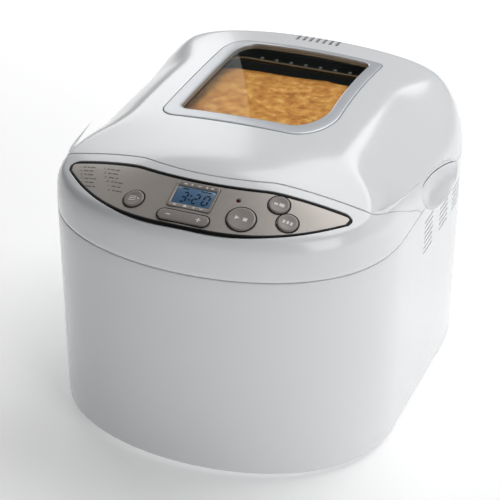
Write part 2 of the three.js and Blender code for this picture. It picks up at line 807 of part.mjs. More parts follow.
// The twist lock under the pan: lugs on its foot ring turn in under tabs on the chamber's seat.
function twistLock() {
  const floor = CHAMBER_FLOOR_Z + CLEAR;
  let seat = ring(48, 52, floor, 67, DRIVE_AXIS, 28);
  let foot = ring(36, 40, floor + CLEAR, 70.1, DRIVE_AXIS, 28);
  for (const degrees of [0, 180]) {
    seat = seat.add(bayonet(42, 50, 64, 67, degrees));
    foot = foot.add(bayonet(38, 46, floor + 1, 63.4, degrees));
  }
  addPiece("pan_seat", seat, STEEL);
  addPiece("pan_foot_ring", foot, STEEL);
}

// ---- pan, handle and paddle -------------------------------------------------------------------------

function pan() {
  const [halfX, halfY] = PAN_HALF;
  const shape = loft(
    [
      roundedRect(halfX - 5, halfY - 5, 20, PAN_FLOOR_Z - 1.6),
      roundedRect(halfX + 1.5, halfY + 1.5, 22, PAN_RIM_Z - 3),
      roundedRect(halfX + 4.5, halfY + 4.5, 25, PAN_RIM_Z - 2.4),
      roundedRect(halfX + 4.5, halfY + 4.5, 25, PAN_RIM_Z - 0.6),
      roundedRect(halfX + 3, halfY + 3, 23, PAN_RIM_Z),
      roundedRect(halfX, halfY, 20.5, PAN_RIM_Z),
      roundedRect(halfX - 6.2, halfY - 6.2, 19, PAN_FLOOR_Z),
      roundHole(6.4, PAN_FLOOR_Z),
      roundHole(6.4, PAN_FLOOR_Z - 1.6),
    ],
    true,
  );
  addPiece("baking_pan", shape, COATED);
  const bush = turned(
    [
      [4.35, 64],
      [6, 64],
      [6, PAN_FLOOR_Z + CLEAR],
      [11, PAN_FLOOR_Z + CLEAR],
      [9, 75],
      [4.35, 75],
    ],
    DRIVE_AXIS,
    18,
  );
  addPiece("shaft_bush", bush, BRASS);
  for (const side of [-1, 1]) {
    const lug = box(5.2, 16, 16, [side * 94.8, CHAMBER_Y, BAIL_PIVOT_Z + 1]);
    const bore = crossRod(2.7, 20, [side * 92, CHAMBER_Y, BAIL_PIVOT_Z], "x");
    addPiece(`handle_lug_${side < 0 ? "left" : "right"}`, lug.subtract(bore), STEEL);
  }
}

// The wire bail, folded back over the pan's rear at rest. It is bent flat, then tilted on its pivots.
function panHandle() {
  const halfX = 100.5;
  const bend = 27;
  const flat = [
    [93, 0],
    [97.5, 0],
    [halfX - 0.6, 1.2],
    [halfX, 6],
    [halfX, 30],
  ];
  for (let i = 0; i <= 3; i += 1) {
    const angle = THREE.MathUtils.degToRad(30 * i);
    flat.push([halfX - bend + bend * Math.cos(angle), BAIL_REACH - bend + bend * Math.sin(angle)]);
  }
  flat.push([30, BAIL_REACH]);
  const tilt = THREE.MathUtils.degToRad(BAIL_REST_DEG);
  const route = [...flat, ...flat.map(([x, reach]) => [-x, reach]).reverse()].map(([x, reach]) => [
    x,
    CHAMBER_Y + reach * Math.cos(tilt),
    BAIL_PIVOT_Z + reach * Math.sin(tilt),
  ]);
  addPiece("pan_handle", wire(route, BAIL_WIRE, 60), STEEL);
}

function dogPair(low, high, degrees) {
  const turn = new THREE.Quaternion().setFromAxisAngle(
    new THREE.Vector3(0, 0, 1),
    THREE.MathUtils.degToRad(degrees),
  );
  const height = high - low;
  const middle = (low + high) / 2;
  const dogs = box(6, 5.6, height, [11.5, 0, middle]).add(box(6, 5.6, height, [-11.5, 0, middle]));
  return placed(dogs, [DRIVE_AXIS[0], DRIVE_AXIS[1], 0], turn);
}

function paddle() {
  addPiece("paddle_shaft", rod(4, 60, 97, DRIVE_AXIS), STEEL);
  const upper = ring(4.35, 15, 60.8, 63.6, DRIVE_AXIS, 18).add(dogPair(54.4, 61, 55));
  addPiece("upper_coupling", upper, STEEL);
  addPiece("shaft_circlip", ring(4.35, 7, 75.4, 76.6, DRIVE_AXIS, 18), STEEL);
  const blade = new THREE.Shape();
  blade.moveTo(6, 0);
  blade.lineTo(40, 0);
  blade.quadraticCurveTo(43, 9, 34, 15);
  blade.quadraticCurveTo(20, 22, 6, 21);
  const fin = new THREE.ExtrudeGeometry(blade, { depth: 4, bevelEnabled: false, curveSegments: 6 });
  fin.rotateX(Math.PI / 2);
  const hub = ring(4.35, 10, 77, 98, DRIVE_AXIS, 18);
  const whole = hub.add(placed(solid(fin), [DRIVE_AXIS[0], DRIVE_AXIS[1] + 2, 77.2]));
  addPiece("kneading_paddle", whole.subtract(rod(4.35, 60, 99, DRIVE_AXIS)), COATED);
}

// ---- drive --------------------------------------------------------------------------------------------

function pulley(name, groove, bore, at) {
  const rim = groove + 3.5;
  const shape = turned(
    [
      [bore, 11],
      [rim, 11],
      [rim, 12.4],
      [groove, 12.6],
      [groove, 19.4],
      [rim, 19.6],
      [rim, 21],
      [bore, 21],
    ],
    at,
    groove > 20 ? 32 : 16,
  );
  addPiece(name, shape, BLACK);
}

// The belt's outline at a distance outside both grooves: two arcs and their common tangents.
function beltOutline(outside) {
  const [x1, y1] = DRIVE_AXIS;
  const [x2, y2] = MOTOR_AXIS;
  const gap = Math.hypot(x2 - x1, y2 - y1);
  const heading = Math.atan2(y2 - y1, x2 - x1);
  const lean = Math.acos((DRIVE_GROOVE - MOTOR_GROOVE) / gap);
  const points = [];
  const steps = 16;
  for (let i = 0; i <= steps; i += 1) {
    const angle = heading + lean + ((2 * Math.PI - 2 * lean) * i) / steps;
    const radius = DRIVE_GROOVE + outside;
    points.push([x1 + radius * Math.cos(angle), y1 + radius * Math.sin(angle)]);
  }
  for (let i = 0; i <= 10; i += 1) {
    const angle = heading - lean + (2 * lean * i) / 10;
    const radius = MOTOR_GROOVE + outside;
    points.push([x2 + radius * Math.cos(angle), y2 + radius * Math.sin(angle)]);
  }
  return points;
}

function drive() {
  addPiece("drive_shaft", rod(5, 9, 47.2, DRIVE_AXIS), STEEL);
  pulley("drive_pulley", DRIVE_GROOVE, 5.35, DRIVE_AXIS);
  const lower = turned(
    [
      [0, 47.6],
      [15, 47.6],
      [15, 50.2],
      [0, 50.2],
    ],
    DRIVE_AXIS,
    20,
  );
  addPiece("lower_coupling", lower.add(dogPair(50, 60.4, 0)), STEEL);
  const belt = prism(beltOutline(3), 13, 19).subtract(prism(beltOutline(0.4), 10, 22));
  addPiece("drive_belt", belt, BLACK);

  const bridge = box(150, 40, 3, [0, CHAMBER_Y, 39.5])
    .add(ring(5.35, 15, 28, 46.8, DRIVE_AXIS, 18))
    .add(box(3, 40, 33.4, [73.5, CHAMBER_Y, 24.2]))
    .add(box(3, 40, 33.4, [-73.5, CHAMBER_Y, 24.2]))
    .subtract(rod(5.35, 20, 50, DRIVE_AXIS));
  addPiece("bearing_bridge", bridge, STEEL);
}

function motor() {
  const [x, y] = MOTOR_AXIS;
  const can = turned(
    [
      [4.4, 31],
      [30, 31],
      [34, 35],
      [34, 84],
      [30, 88],
      [4.4, 88],
      [4.4, 85],
      [29, 85],
      [31, 83],
      [31, 36],
      [29, 34],
      [4.4, 34],
    ],
    MOTOR_AXIS,
    24,
  );
  addPiece("motor_body", can, STEEL);
  addPiece("motor_shaft", rod(4, 9, 84, MOTOR_AXIS), STEEL);
  addPiece("motor_armature", ring(4.35, 27, 39, 79, MOTOR_AXIS, 24), STEEL);
  pulley("motor_pulley", MOTOR_GROOVE, 4.35, MOTOR_AXIS);
  let bracket = box(80, 60, 2.5, [x, y, 29.4]).subtract(rod(9, 20, 40, MOTOR_AXIS));
  for (const [dx, dy] of [
    [-36, -26],
    [36, -26],
    [-36, 26],
    [36, 26],
  ]) {
    bracket = bracket.add(rod(3.5, 6.9, 29, [x + dx, y + dy], 12));
  }
  addPiece("motor_bracket", bracket, STEEL);
}

function electrics() {
  let board = box(84, 56, 1.6, [-62, -96, 16]);
  for (const [dx, dy] of [
    [-36, -22],
    [36, -22],
    [-36, 22],
    [36, 22],
  ]) {
    board = board.add(rod(3, 6.9, 16, [-62 + dx, -96 + dy], 12));
  }
  board = board.add(box(26, 22, 24, [-76, -96, 28])).add(box(14, 18, 15, [-48, -104, 24]));
  addPiece("power_board", board, BOARD);
  addPiece("motor_capacitor", rod(15, 7, 66, [3, -100]), BLACK);
}

housing();
basePlate();
frontCover();
controlPanel();
buttons();
controlBoard();
lidShell();
lidWindow();
lidLiner();
hinges();
chamber();
heater();
twistLock();
pan();
panHandle();
paddle();
drive();
motor();
electrics();

export default machine;
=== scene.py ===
# %% [markdown]
# # Bread machine
# A household bread machine in glossy white plastic: a tapered housing, a front cover with a sloping
# lens-shaped control panel, and a hinged lid whose window looks down on the loaf in its pan.
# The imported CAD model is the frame. The visible shells, the chamber and the pan are rebuilt here
# finely from the same curves, and the drive, the feet and the small fittings keep their CAD solids.

import math

import bpy
from mathutils import Matrix, Vector, noise


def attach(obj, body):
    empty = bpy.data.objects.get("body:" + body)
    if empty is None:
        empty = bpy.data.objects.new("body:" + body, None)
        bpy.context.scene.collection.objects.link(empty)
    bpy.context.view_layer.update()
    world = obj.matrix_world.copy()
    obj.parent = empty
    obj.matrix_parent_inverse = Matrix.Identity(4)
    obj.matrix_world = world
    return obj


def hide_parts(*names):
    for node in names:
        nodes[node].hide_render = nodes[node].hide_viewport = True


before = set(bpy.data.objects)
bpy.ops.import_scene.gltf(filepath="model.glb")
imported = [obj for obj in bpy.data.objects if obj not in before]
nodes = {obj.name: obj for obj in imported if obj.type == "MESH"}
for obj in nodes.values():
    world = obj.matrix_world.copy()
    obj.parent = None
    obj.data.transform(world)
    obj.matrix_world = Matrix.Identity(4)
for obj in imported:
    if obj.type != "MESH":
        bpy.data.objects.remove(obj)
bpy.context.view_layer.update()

# %% [markdown]
# ## Camera
# A three-quarter view from the front right and above, with a long lens as used for product shots.

# %% Camera
camera_data = bpy.data.cameras.new("camera")
camera_data.sensor_width = 36
camera_data.lens = 136.86
camera = bpy.data.objects.new("camera", camera_data)
bpy.context.scene.collection.objects.link(camera)
right = Vector((0.9261, 0.3772, 0.0)).normalized()
forward = Vector((-0.3244, 0.7966, -0.5101)).normalized()
up = right.cross(forward)
camera.matrix_world = Matrix.Translation((0.5395, -1.3436, 0.9775)) @ Matrix(
    (right, up, -forward)
).transposed().to_4x4()
bpy.context.scene.camera = camera
print("camera at", tuple(round(v, 3) for v in camera.location))

# %% [markdown]
# ## Materials
# One function makes a shader node with its settings and links. Each finish starts from a
# Principled BSDF and adds the marks of its process: a faint orange peel on moulded gloss, fine
# grain on satin parts, brushing on sheet metal. Texture sizes are in real millimetres.


# %% Material helpers
def linear(code):
    """An sRGB hex colour as linear RGBA."""
    values = [int(code[i : i + 2], 16) / 255 for i in (1, 3, 5)]
    return [v / 12.92 if v <= 0.04045 else ((v + 0.055) / 1.055) ** 2.4 for v in values] + [1.0]


def node(tree, kind, settings=None, **links):
    """A shader node: settings are its properties or socket values, links its inputs."""
    made = tree.nodes.new(kind)
    for key, value in (settings or {}).items():
        if key in made.inputs:
            made.inputs[key].default_value = value
        else:
            setattr(made, key, value)
    for key, source in links.items():
        tree.links.new(source, made.inputs[key.replace("_", " ")])
    return made


def start(name, **settings):
    """A new material and its tree, with the Principled BSDF's uniform values on its own sockets."""
    material = bpy.data.materials.new(name)
    material.use_nodes = True
    shader = material.node_tree.nodes["Principled BSDF"]
    for key, value in settings.items():
        shader.inputs[key.replace("_", " ")].default_value = value
    place = node(material.node_tree, "ShaderNodeTexCoord").outputs["Object"]
    return material, material.node_tree, shader, place


def speckle(tree, place, millimetres, detail=3, stretch=(1, 1, 1)):
    """Noise whose features are about this many millimetres across, longer along a stretched axis."""
    scaled = node(tree, "ShaderNodeMapping", {"Scale": [1 / s for s in stretch]}, Vector=place)
    return node(
        tree,
        "ShaderNodeTexNoise",
        {"Scale": 1000 / millimetres, "Detail": detail},
        Vector=scaled.outputs["Vector"],
    ).outputs["Fac"]


def spread(tree, value, low, high):
    """A 0 to 1 value spread between two numbers."""
    return node(tree, "ShaderNodeMapRange", {"To Min": low, "To Max": high}, Value=value).outputs[
        "Result"
    ]


def bump(tree, height, millimetres, strength=1.0, normal=None):
    made = node(
        tree,
        "ShaderNodeBump",
        {"Distance": millimetres / 1000, "Strength": strength},
        Height=height,
    )
    if normal:
        tree.links.new(normal, made.inputs["Normal"])
    return made.outputs["Normal"]


def two_tone(tree, factor, first, second):
    mix = node(tree, "ShaderNodeMix", {"data_type": "RGBA"})
    tree.links.new(factor, mix.inputs[0])
    mix.inputs[6].default_value = linear(first)
    mix.inputs[7].default_value = linear(second)
    return mix.outputs[2]


def finish(
    name, light, dark, roughness, grain=0.6, depth=0.004, metallic=0.0, stretch=(1, 1, 1),
    patch=25, edge=0.0, **settings,
):
    """A finish with broad patches between two near colours, a surface grain and uneven gloss."""
    material, tree, shader, place = start(name, Metallic=metallic, **settings)
    broad = speckle(tree, place, patch)
    fine = speckle(tree, place, grain, 4, stretch)
    tree.links.new(two_tone(tree, broad, light, dark), shader.inputs["Base Color"])
    tree.links.new(spread(tree, fine, *roughness), shader.inputs["Roughness"])
    rounded = None
    if edge:
        rounded = node(tree, "ShaderNodeBevel", {"Radius": edge / 1000, "samples": 4})
        rounded = rounded.outputs["Normal"]
    tree.links.new(bump(tree, fine, depth, 0.6, rounded), shader.inputs["Normal"])
    return material


# %% [markdown]
# ## Plastics
# The shells are injection-moulded gloss ABS: hard, bright reflections, with the faint waviness
# that shrinkage leaves. The panel is a lacquered overlay, a little metallic, with satin keys.

# %% Plastics and rubber
white = finish(
    "injection moulded white gloss abs", "#E9EAEC", "#E4E6E8", (0.16, 0.24), grain=9, depth=0.012,
    patch=90, edge=0.7, IOR=1.53, Coat_Weight=0.25, Coat_Roughness=0.08,
)
taupe = finish(
    "taupe metallic lacquer on polycarbonate", "#ADA6A0", "#A39C96", (0.3, 0.38), grain=0.25,
    depth=0.002, metallic=0.35, patch=18, IOR=1.55, Coat_Weight=0.35, Coat_Roughness=0.15,
)
key_grey = finish(
    "satin moulded key plastic", "#918A86", "#867F7B", (0.34, 0.44), grain=0.35, depth=0.004,
    metallic=0.15, patch=9, edge=0.3, IOR=1.5,
)
black = finish(
    "gloss black moulded abs", "#050506", "#09090A", (0.3, 0.42), grain=1.5, depth=0.004, IOR=1.53,
    Specular_IOR_Level=0.12,
)
black_plastic = finish(
    "glass filled black nylon", "#161617", "#202022", (0.45, 0.6), grain=0.4, depth=0.02, IOR=1.53
)
rubber = finish(
    "moulded black silicone rubber", "#151515", "#1E1E1E", (0.55, 0.7), grain=0.5, depth=0.015,
    IOR=1.43,
)
silver = finish(
    "silver lacquered window trim", "#C6C9CD", "#BDC0C5", (0.3, 0.4), grain=0.2, depth=0.002,
    metallic=0.3, patch=20, edge=0.3, IOR=1.5, Coat_Weight=0.3, Coat_Roughness=0.1,
)
print_light = finish(
    "screen printed pale ink", "#E6E4E0", "#DAD8D4", (0.5, 0.6), grain=0.3, depth=0.001, IOR=1.5
)
print_dark = finish(
    "lcd segment navy", "#0A1228", "#0D1730", (0.5, 0.6), grain=0.3, depth=0.0, IOR=1.5,
    Specular_IOR_Level=0.1,
)
print_grey = finish(
    "screen printed grey ink", "#6C6661", "#625C58", (0.45, 0.55), grain=0.3, depth=0.001, IOR=1.5
)
# %% [markdown]
# ## Metals and coatings
# Chamber and brackets are rolled sheet steel, so their grain runs one way. The pan, paddle and lid
# liner have a sprayed non-stick coating, which leaves a fine pebble.

# %% Metals and coatings
steel = finish(
    "brushed rolled steel sheet", "#A9ABAE", "#9B9DA0", (0.24, 0.4), grain=0.25, depth=0.004,
    metallic=1.0, stretch=(14, 14, 1), patch=30,
)
turned_steel = finish(
    "turned bright steel", "#B4B6B8", "#A6A8AA", (0.16, 0.3), grain=0.2, depth=0.003, metallic=1.0,
    stretch=(6, 6, 1), patch=12,
)
wire_steel = finish(
    "drawn stainless wire", "#B9BBBD", "#A8AAAC", (0.18, 0.28), grain=0.3, depth=0.003,
    metallic=1.0, stretch=(8, 1, 1), patch=14,
)
sheath = finish(
    "heat tinted element sheath", "#6E6660", "#57514E", (0.35, 0.5), grain=0.5, depth=0.006,
    metallic=1.0, patch=16,
)
cast = finish(
    "die cast aluminium", "#A9ABAD", "#97999C", (0.38, 0.52), grain=0.7, depth=0.02, metallic=1.0,
    patch=10,
)
motor_paint = finish(
    "grey stoved enamel", "#54585C", "#4A4E52", (0.35, 0.48), grain=1.2, depth=0.012, patch=15,
    IOR=1.5,
)
coating = finish(
    "sprayed non stick coating", "#4A5460", "#3C454F", (0.36, 0.5), grain=0.35, depth=0.012,
    metallic=0.35, patch=14, IOR=1.45,
)
# A darker copy of the coating: painted shade for the liner's upper side inside the closed lid.
shaded_liner_coating = finish(
    "non stick coating with painted shade", "#1A1C20", "#131417", (0.32, 0.46), grain=0.35, depth=0.01,
    metallic=0.2, patch=14, IOR=1.45,
)
bronze = finish(
    "sintered bronze", "#A98652", "#97764A", (0.34, 0.46), grain=0.3, depth=0.01, metallic=1.0,
    patch=5,
)
can = finish(
    "drawn aluminium can", "#B5B7BA", "#A8AAAD", (0.25, 0.36), grain=0.3, depth=0.003,
    metallic=1.0, stretch=(1, 1, 12), patch=12,
)
board = finish(
    "green solder mask on glass epoxy", "#1F5A38", "#184A2E", (0.3, 0.42), grain=0.6, depth=0.01,
    patch=8, IOR=1.55,
)


# %% [markdown]
# ## Glass
# The window is a thin pane, so light passes straight through it and only the surface gloss
# remains: a clear layer and a glossy layer, mixed by a curve that grows steeply towards grazing.


# %% Window glass
def pane(name, tint, roughness):
    material, tree, shader, place = start(
        name, Base_Color=(0.01, 0.012, 0.012, 1), IOR=1.5, Specular_IOR_Level=0.9
    )
    clear = node(tree, "ShaderNodeBsdfTransparent", {"Color": linear(tint)})
    facing = node(tree, "ShaderNodeLayerWeight", {"Blend": 0.5}).outputs["Facing"]
    grazing = node(tree, "ShaderNodeMath", {"operation": "POWER"})
    tree.links.new(facing, grazing.inputs[0])
    grazing.inputs[1].default_value = 5
    gloss = spread(tree, grazing.outputs["Value"], 0.04, 0.9)
    tree.links.new(spread(tree, speckle(tree, place, 12), *roughness), shader.inputs["Roughness"])
    mix = node(tree, "ShaderNodeMixShader")
    tree.links.new(gloss, mix.inputs[0])
    tree.links.new(clear.outputs["BSDF"], mix.inputs[1])
    tree.links.new(shader.outputs["BSDF"], mix.inputs[2])
    tree.links.new(mix.outputs["Shader"], tree.nodes["Material Output"].inputs["Surface"])
    return material


glass = pane("toughened clear window glass", "#F4F8F6", (0.01, 0.03))
inner_glass = pane("inner heat resisting glass", "#EDF2EF", (0.02, 0.05))

# %% [markdown]
# ## Display and loaf
# The display is a blue liquid-crystal cell, lit a little unevenly from behind. The crust is browned
# in patches a few millimetres across, from pale wheat to dark brown, with fine pores.

# %% Display and loaf
lcd, tree, shader, place = start(
    "backlit blue liquid crystal", IOR=1.5, Coat_Weight=0.5, Coat_Roughness=0.05, Roughness=0.35
)
cell = speckle(tree, place, 14, 1)
tree.links.new(two_tone(tree, cell, "#54799A", "#3C5E7E"), shader.inputs["Base Color"])
lines = node(tree, "ShaderNodeTexWave", {"Scale": 900.0}, Vector=place).outputs["Fac"]
tree.links.new(bump(tree, lines, 0.002, 0.2), shader.inputs["Normal"])

crust, tree, shader, place = start(
    "baked wheat crust", IOR=1.4, Subsurface_Weight=0.08, Subsurface_Scale=0.004
)
browning = node(
    tree,
    "ShaderNodeMapRange",
    {"From Min": 0.22, "From Max": 0.8},
    Value=speckle(tree, place, 7, 12, (1, 1, 1)),
).outputs["Result"]
ramp = node(tree, "ShaderNodeValToRGB", None, Fac=browning)
stops = [(0.0, "#E9BB82"), (0.3, "#D89B59"), (0.55, "#C4803F"), (0.8, "#AB672E"), (1.0, "#7E431A")]
while len(ramp.color_ramp.elements) < len(stops):
    ramp.color_ramp.elements.new(0.5)
for element, (position, code) in zip(ramp.color_ramp.elements, stops):
    element.position = position
    element.color = linear(code)
tree.links.new(ramp.outputs["Color"], shader.inputs["Base Color"])
pores = speckle(tree, place, 4, 8)
tree.links.new(spread(tree, pores, 0.55, 0.8), shader.inputs["Roughness"])
tree.links.new(bump(tree, pores, 1.4, 1.0), shader.inputs["Normal"])
print(len(bpy.data.materials), "materials")

# %% [markdown]
# ## The body's curves
# The outer form in millimetres, repeated from the CAD source: a bowed front, straight sides and a
# squarer rear in plan, and a crowned top where the sloping panel runs into the nearly level lid.

# %% Outline and top
# Fixed dimensions, in millimetres apart from the slope.
HALF_WIDTH, HALF_DEPTH = 151.0, 174.0
FRONT_BOW, REAR_BOW = 128.0, 116.0
SEAM_Z, WALL, DRAFT = 193.0, 2.8, 1.3
PANEL_FRONT_Z, PANEL_SLOPE = 230.0, 0.379
LID_TOP_Z = 263.5
CHAMBER_Y = 45.0
INNER_PANE_Y = 40.5


def smooth(low, high, value):
    t = min(max((value - low) / (high - low), 0.0), 1.0)
    return t * t * (3 - 2 * t)


def lerp(a, b, t):
    return a + (b - a) * t


def plan_outline():
    """Points anticlockwise from the front point, each with its outward normal."""
    side_start, side_end = FRONT_BOW - HALF_DEPTH, HALF_DEPTH - REAR_BOW
    half = []
    for i in range(53):
        angle = math.pi / 2 * i / 52
        half.append((HALF_WIDTH * math.sin(angle), side_start - FRONT_BOW * math.cos(angle) ** (2 / 2.6)))
    half[-1] = (HALF_WIDTH, side_start)
    half += [(HALF_WIDTH, lerp(side_start, side_end, i / 12)) for i in range(1, 12)]
    corner = 0.5**0.25
    for i in range(19):
        along = corner * i / 18
        half.append((HALF_WIDTH * (1 - along**4) ** 0.25, side_end + REAR_BOW * along))
    for i in range(17, -1, -1):
        across = corner * i / 18
        half.append((HALF_WIDTH * across, side_end + REAR_BOW * (1 - across**4) ** 0.25))
    whole = half + [(-x, y) for x, y in half[-2:0:-1]]
    plan = []
    for i, point in enumerate(whole):
        before, after = whole[i - 1], whole[(i + 1) % len(whole)]
        along = (Vector(after) - Vector(before)).normalized()
        plan.append((point, (along.y, -along.x)))
    return plan


PLAN = plan_outline()


def inset_plan(inset):
    return [(p[0] - n[0] * inset, p[1] - n[1] * inset) for p, n in PLAN]


def top_height(x, y):
    distance = y + HALF_DEPTH
    panel = PANEL_FRONT_Z + PANEL_SLOPE * distance
    lid = LID_TOP_Z - 5 * ((distance - 218) / 131) ** 2
    profile = min(panel, lid) - 2 * math.log(1 + math.exp(-abs(panel - lid) / 2))
    return profile - lerp(0.00138, 0.0007, smooth(63, 133, distance)) * x * x


def shoulder(y):
    """The width and the two exponents of the shoulder's roll at one place on the outline."""
    distance = y + HALF_DEPTH
    rear = smooth(240, 348, distance)
    side = smooth(58, 128, distance) * (1 - rear)
    front = smooth(63, 153, distance)
    creased = front * (1 - rear)
    return 8 + 46 * side + 18 * rear, 2.2 - 0.9 * creased, 3.5 - 1.5 * front


def from_front(distance):
    return distance - HALF_DEPTH


print(len(PLAN), "points in the plan outline")

# %% [markdown]
# ## Mesh helpers
# Lofts join rings of points, and shells are cut with exact booleans as a toolmaker would cut the
# mould. A closed loft joins its last ring to its first, and an open one is capped.


# %% Mesh helpers
def solid(name, points, faces):
    mesh = bpy.data.meshes.new(name)
    mesh.from_pydata([[c / 1000 for c in p] for p in points], [], faces)
    mesh.update()
    made = bpy.data.objects.new(name, mesh)
    bpy.context.scene.collection.objects.link(made)
    return made


def bridge(rings, closed, start_index=0):
    """Faces between rings of equal counts, each anticlockwise, listed from outside bottom upwards."""
    count = len(rings[0])
    faces = []
    for band in range(len(rings) if closed else len(rings) - 1):
        low, high = band * count, (band + 1) % len(rings) * count
        for i in range(count):
            j = (i + 1) % count
            faces.append([start_index + k for k in (low + i, low + j, high + j, high + i)])
    if not closed:
        top = (len(rings) - 1) * count
        faces.append([start_index + i for i in reversed(range(count))])
        faces.append([start_index + top + i for i in range(count)])
    return faces


def loft(name, rings, closed=True):
    return solid(name, [p for ring in rings for p in ring], bridge(rings, closed))


def prism(outline, low, high):
    return loft("cutter", [[(x, y, z) for x, y in outline] for z in (low, high)], False)


def carve(target, tool, how="DIFFERENCE"):
    """Applies one exact boolean and removes the tool."""
    cut = target.modifiers.new("cut", "BOOLEAN")
    cut.object, cut.operation, cut.solver = tool, how, "EXACT"
    evaluated = target.evaluated_get(bpy.context.evaluated_depsgraph_get())
    mesh = bpy.data.meshes.new_from_object(evaluated)
    target.modifiers.clear()
    target.data = mesh
    bpy.data.objects.remove(tool)
    return target


def joined(tools):
    """Several separate cutters as one object."""
    points, faces = [], []
    for tool in tools:
        base = len(points)
        points += [tool.matrix_world @ v.co * 1000 for v in tool.data.vertices]
        faces += [[base + i for i in p.vertices] for p in tool.data.polygons]
        bpy.data.objects.remove(tool)
    return solid("cutters", points, faces)


def settle(piece, name, body, slot, material, *replaced, angle=32):
    """Names a piece, gives it its finish and smooth shading, and lets it ride on its body."""
    piece.name = piece.data.name = name
    if material:
        piece.data.materials.clear()
        piece.data.materials.append(material)
    piece.data.shade_smooth()
    piece.data.set_sharp_from_angle(angle=math.radians(angle))
    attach(piece, body)
    if replaced:
        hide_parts(*replaced)
    print(name, len(piece.data.polygons), "faces on", body)
    return piece


def softened(points, passes=2):
    """A closed outline with its corners cut back, as a moulded edge has."""
    for _ in range(passes):
        cut = []
        for i, (x, y) in enumerate(points):
            nx, ny = points[(i + 1) % len(points)]
            cut += [(lerp(x, nx, 0.25), lerp(y, ny, 0.25)), (lerp(x, nx, 0.75), lerp(y, ny, 0.75))]
        points = cut
    return points


def dome(inset, base, foot=()):
    """The solid under the whole top with its surface sunk by an inset. foot gives (inset, z) rings."""
    floor_z = base if not foot else foot[-1][1]
    rings = [[(x, y, z) for x, y in inset_plan(inset + extra)] for extra, z in foot or ((0, base),)]
    steps = 20
    for k in range(1, steps + 1):
        level = 1 - (k / steps) ** 2.6
        ring = []
        for (px, py), (nx, ny) in PLAN:
            width, roll, rise = shoulder(py)
            reach = inset + (width - inset) * (1 - level)
            x, y = px - nx * reach, py - ny * reach
            share = (1 - level**roll) ** (1 / rise)
            ring.append((x, y, SEAM_Z + (top_height(x, y) - inset - SEAM_Z) * share))
        if min(p[2] for p in ring) > floor_z:
            rings.append(ring)
    count = len(PLAN)
    points = [p for ring in rings for p in ring]
    faces = bridge(rings, False)[:-1]
    edge = (len(rings) - 1) * count
    columns = 28
    rows = [[edge] * (columns + 1)]
    for row in range(1, count // 2):
        x_edge, y, _ = rings[-1][row]
        line = [edge + count - row]
        for column in range(1, columns):
            x = x_edge * (2 * column / columns - 1)
            line.append(len(points))
            points.append((x, y, top_height(x, y) - inset))
        rows.append(line + [edge + row])
    rows.append([edge + count // 2] * (columns + 1))
    for near, far in zip(rows, rows[1:]):
        for c in range(columns):
            corners = [near[c], near[c + 1], far[c + 1], far[c]]
            face = [v for i, v in enumerate(corners) if v != corners[i - 1]]
            if len(face) > 2:
                faces.append(face)
    return solid("dome", points, faces)


OUTER_FOOT = ((0.7, 193.4), (0.2, 193.6), (0.0, 194.0))


def outer_dome():
    return dome(0, 193.4, OUTER_FOOT)


# %% [markdown]
# ## Parting lines
# Where the lid ends, where the panel lies and where the window opens, all seen from above.


# %% Parting lines
def lid_edge(x):
    across = abs(x)
    if across <= 57:
        return from_front(59 + 0.0031 * across * across)
    return from_front(69.1 + 0.13 * (across - 57) + 0.25 * max(across - 133, 0) ** 2)


def front_region(offset):
    """Everything in front of the lid's front edge, moved back by an offset."""
    edge = [(x, lid_edge(x) + offset) for x in range(-160, 161, 2)]
    for _ in range(2):
        triples = zip(edge, edge[1:], edge[2:])
        inner = [(b[0], (a[1] + b[1] + c[1]) / 3) for a, b, c in triples]
        edge = [edge[0], *inner, edge[-1]]
    return prism([(-160, -220), (160, -220), *reversed(edge)], 150, 300)


def panel_outline(margin):
    """The panel's lens shape, grown by a margin: a curved front edge and a kinked rear one."""
    tip = 124.5 + margin
    points = []
    for i in range(-40, 41):
        x = tip * 0.985 * math.sin(i / 40 * math.pi / 2)
        points.append((x, from_front(5.5 - margin + 56 * (abs(x) / 124.5) ** 2.45)))
    points.append((tip, from_front(65.5)))
    rear = []
    for i in range(35):
        x = 119 - 7 * i
        across = abs(x)
        back = 52.5 + 0.0025 * across**2 if across < 58 else 60.9 + 0.13 * (across - 58)
        rear.append((x, from_front(margin + back)))
    points += rear
    points.append((-tip, from_front(65.5)))
    return softened(points)


def window_outline(margin):
    """The window's opening, grown by a margin: a bowed front with one broad and one tight corner."""
    left, right = -62.5 - 1.2 * margin, 60 + 0.95 * margin
    front, rear = from_front(148) - 1.2 * margin, from_front(291) + 0.6 * margin
    points = []

    def sweep(cx, cy, rx, ry, begin):
        for i in range(17):
            angle = math.radians(begin + 90 * i / 16)
            points.append((cx + rx * math.cos(angle), cy + ry * math.sin(angle)))

    def run(x0, y0, x1, y1, bow, count):
        for i in range(1, count):
            t = i / count
            hump = 4 * t * (1 - t)
            points.append((lerp(x0, x1, t) - bow[0] * hump, lerp(y0, y1, t) - bow[1] * hump))

    tight, wide, tall = 9 + 0.5 * margin, 26 + 0.5 * margin, 40 + 0.5 * margin
    run(left + tight, front, right - wide, front + 2, (0, 0.9), 24)
    sweep(right - wide, front + 2 + tall, wide, tall, -90)
    run(right, front + 2 + tall, right, rear - 6, (1.6, 0), 20)
    sweep(right - 6, rear - 6, 6, 6, 0)
    run(right - 6, rear, left + 16, rear, (0, 0), 20)
    sweep(left + 16, rear - 26, 16, 26, 90)
    run(left, rear - 26, left, front + tight, (0, 0), 20)
    sweep(left + tight, front + tight, tight, tight, 180)
    return points


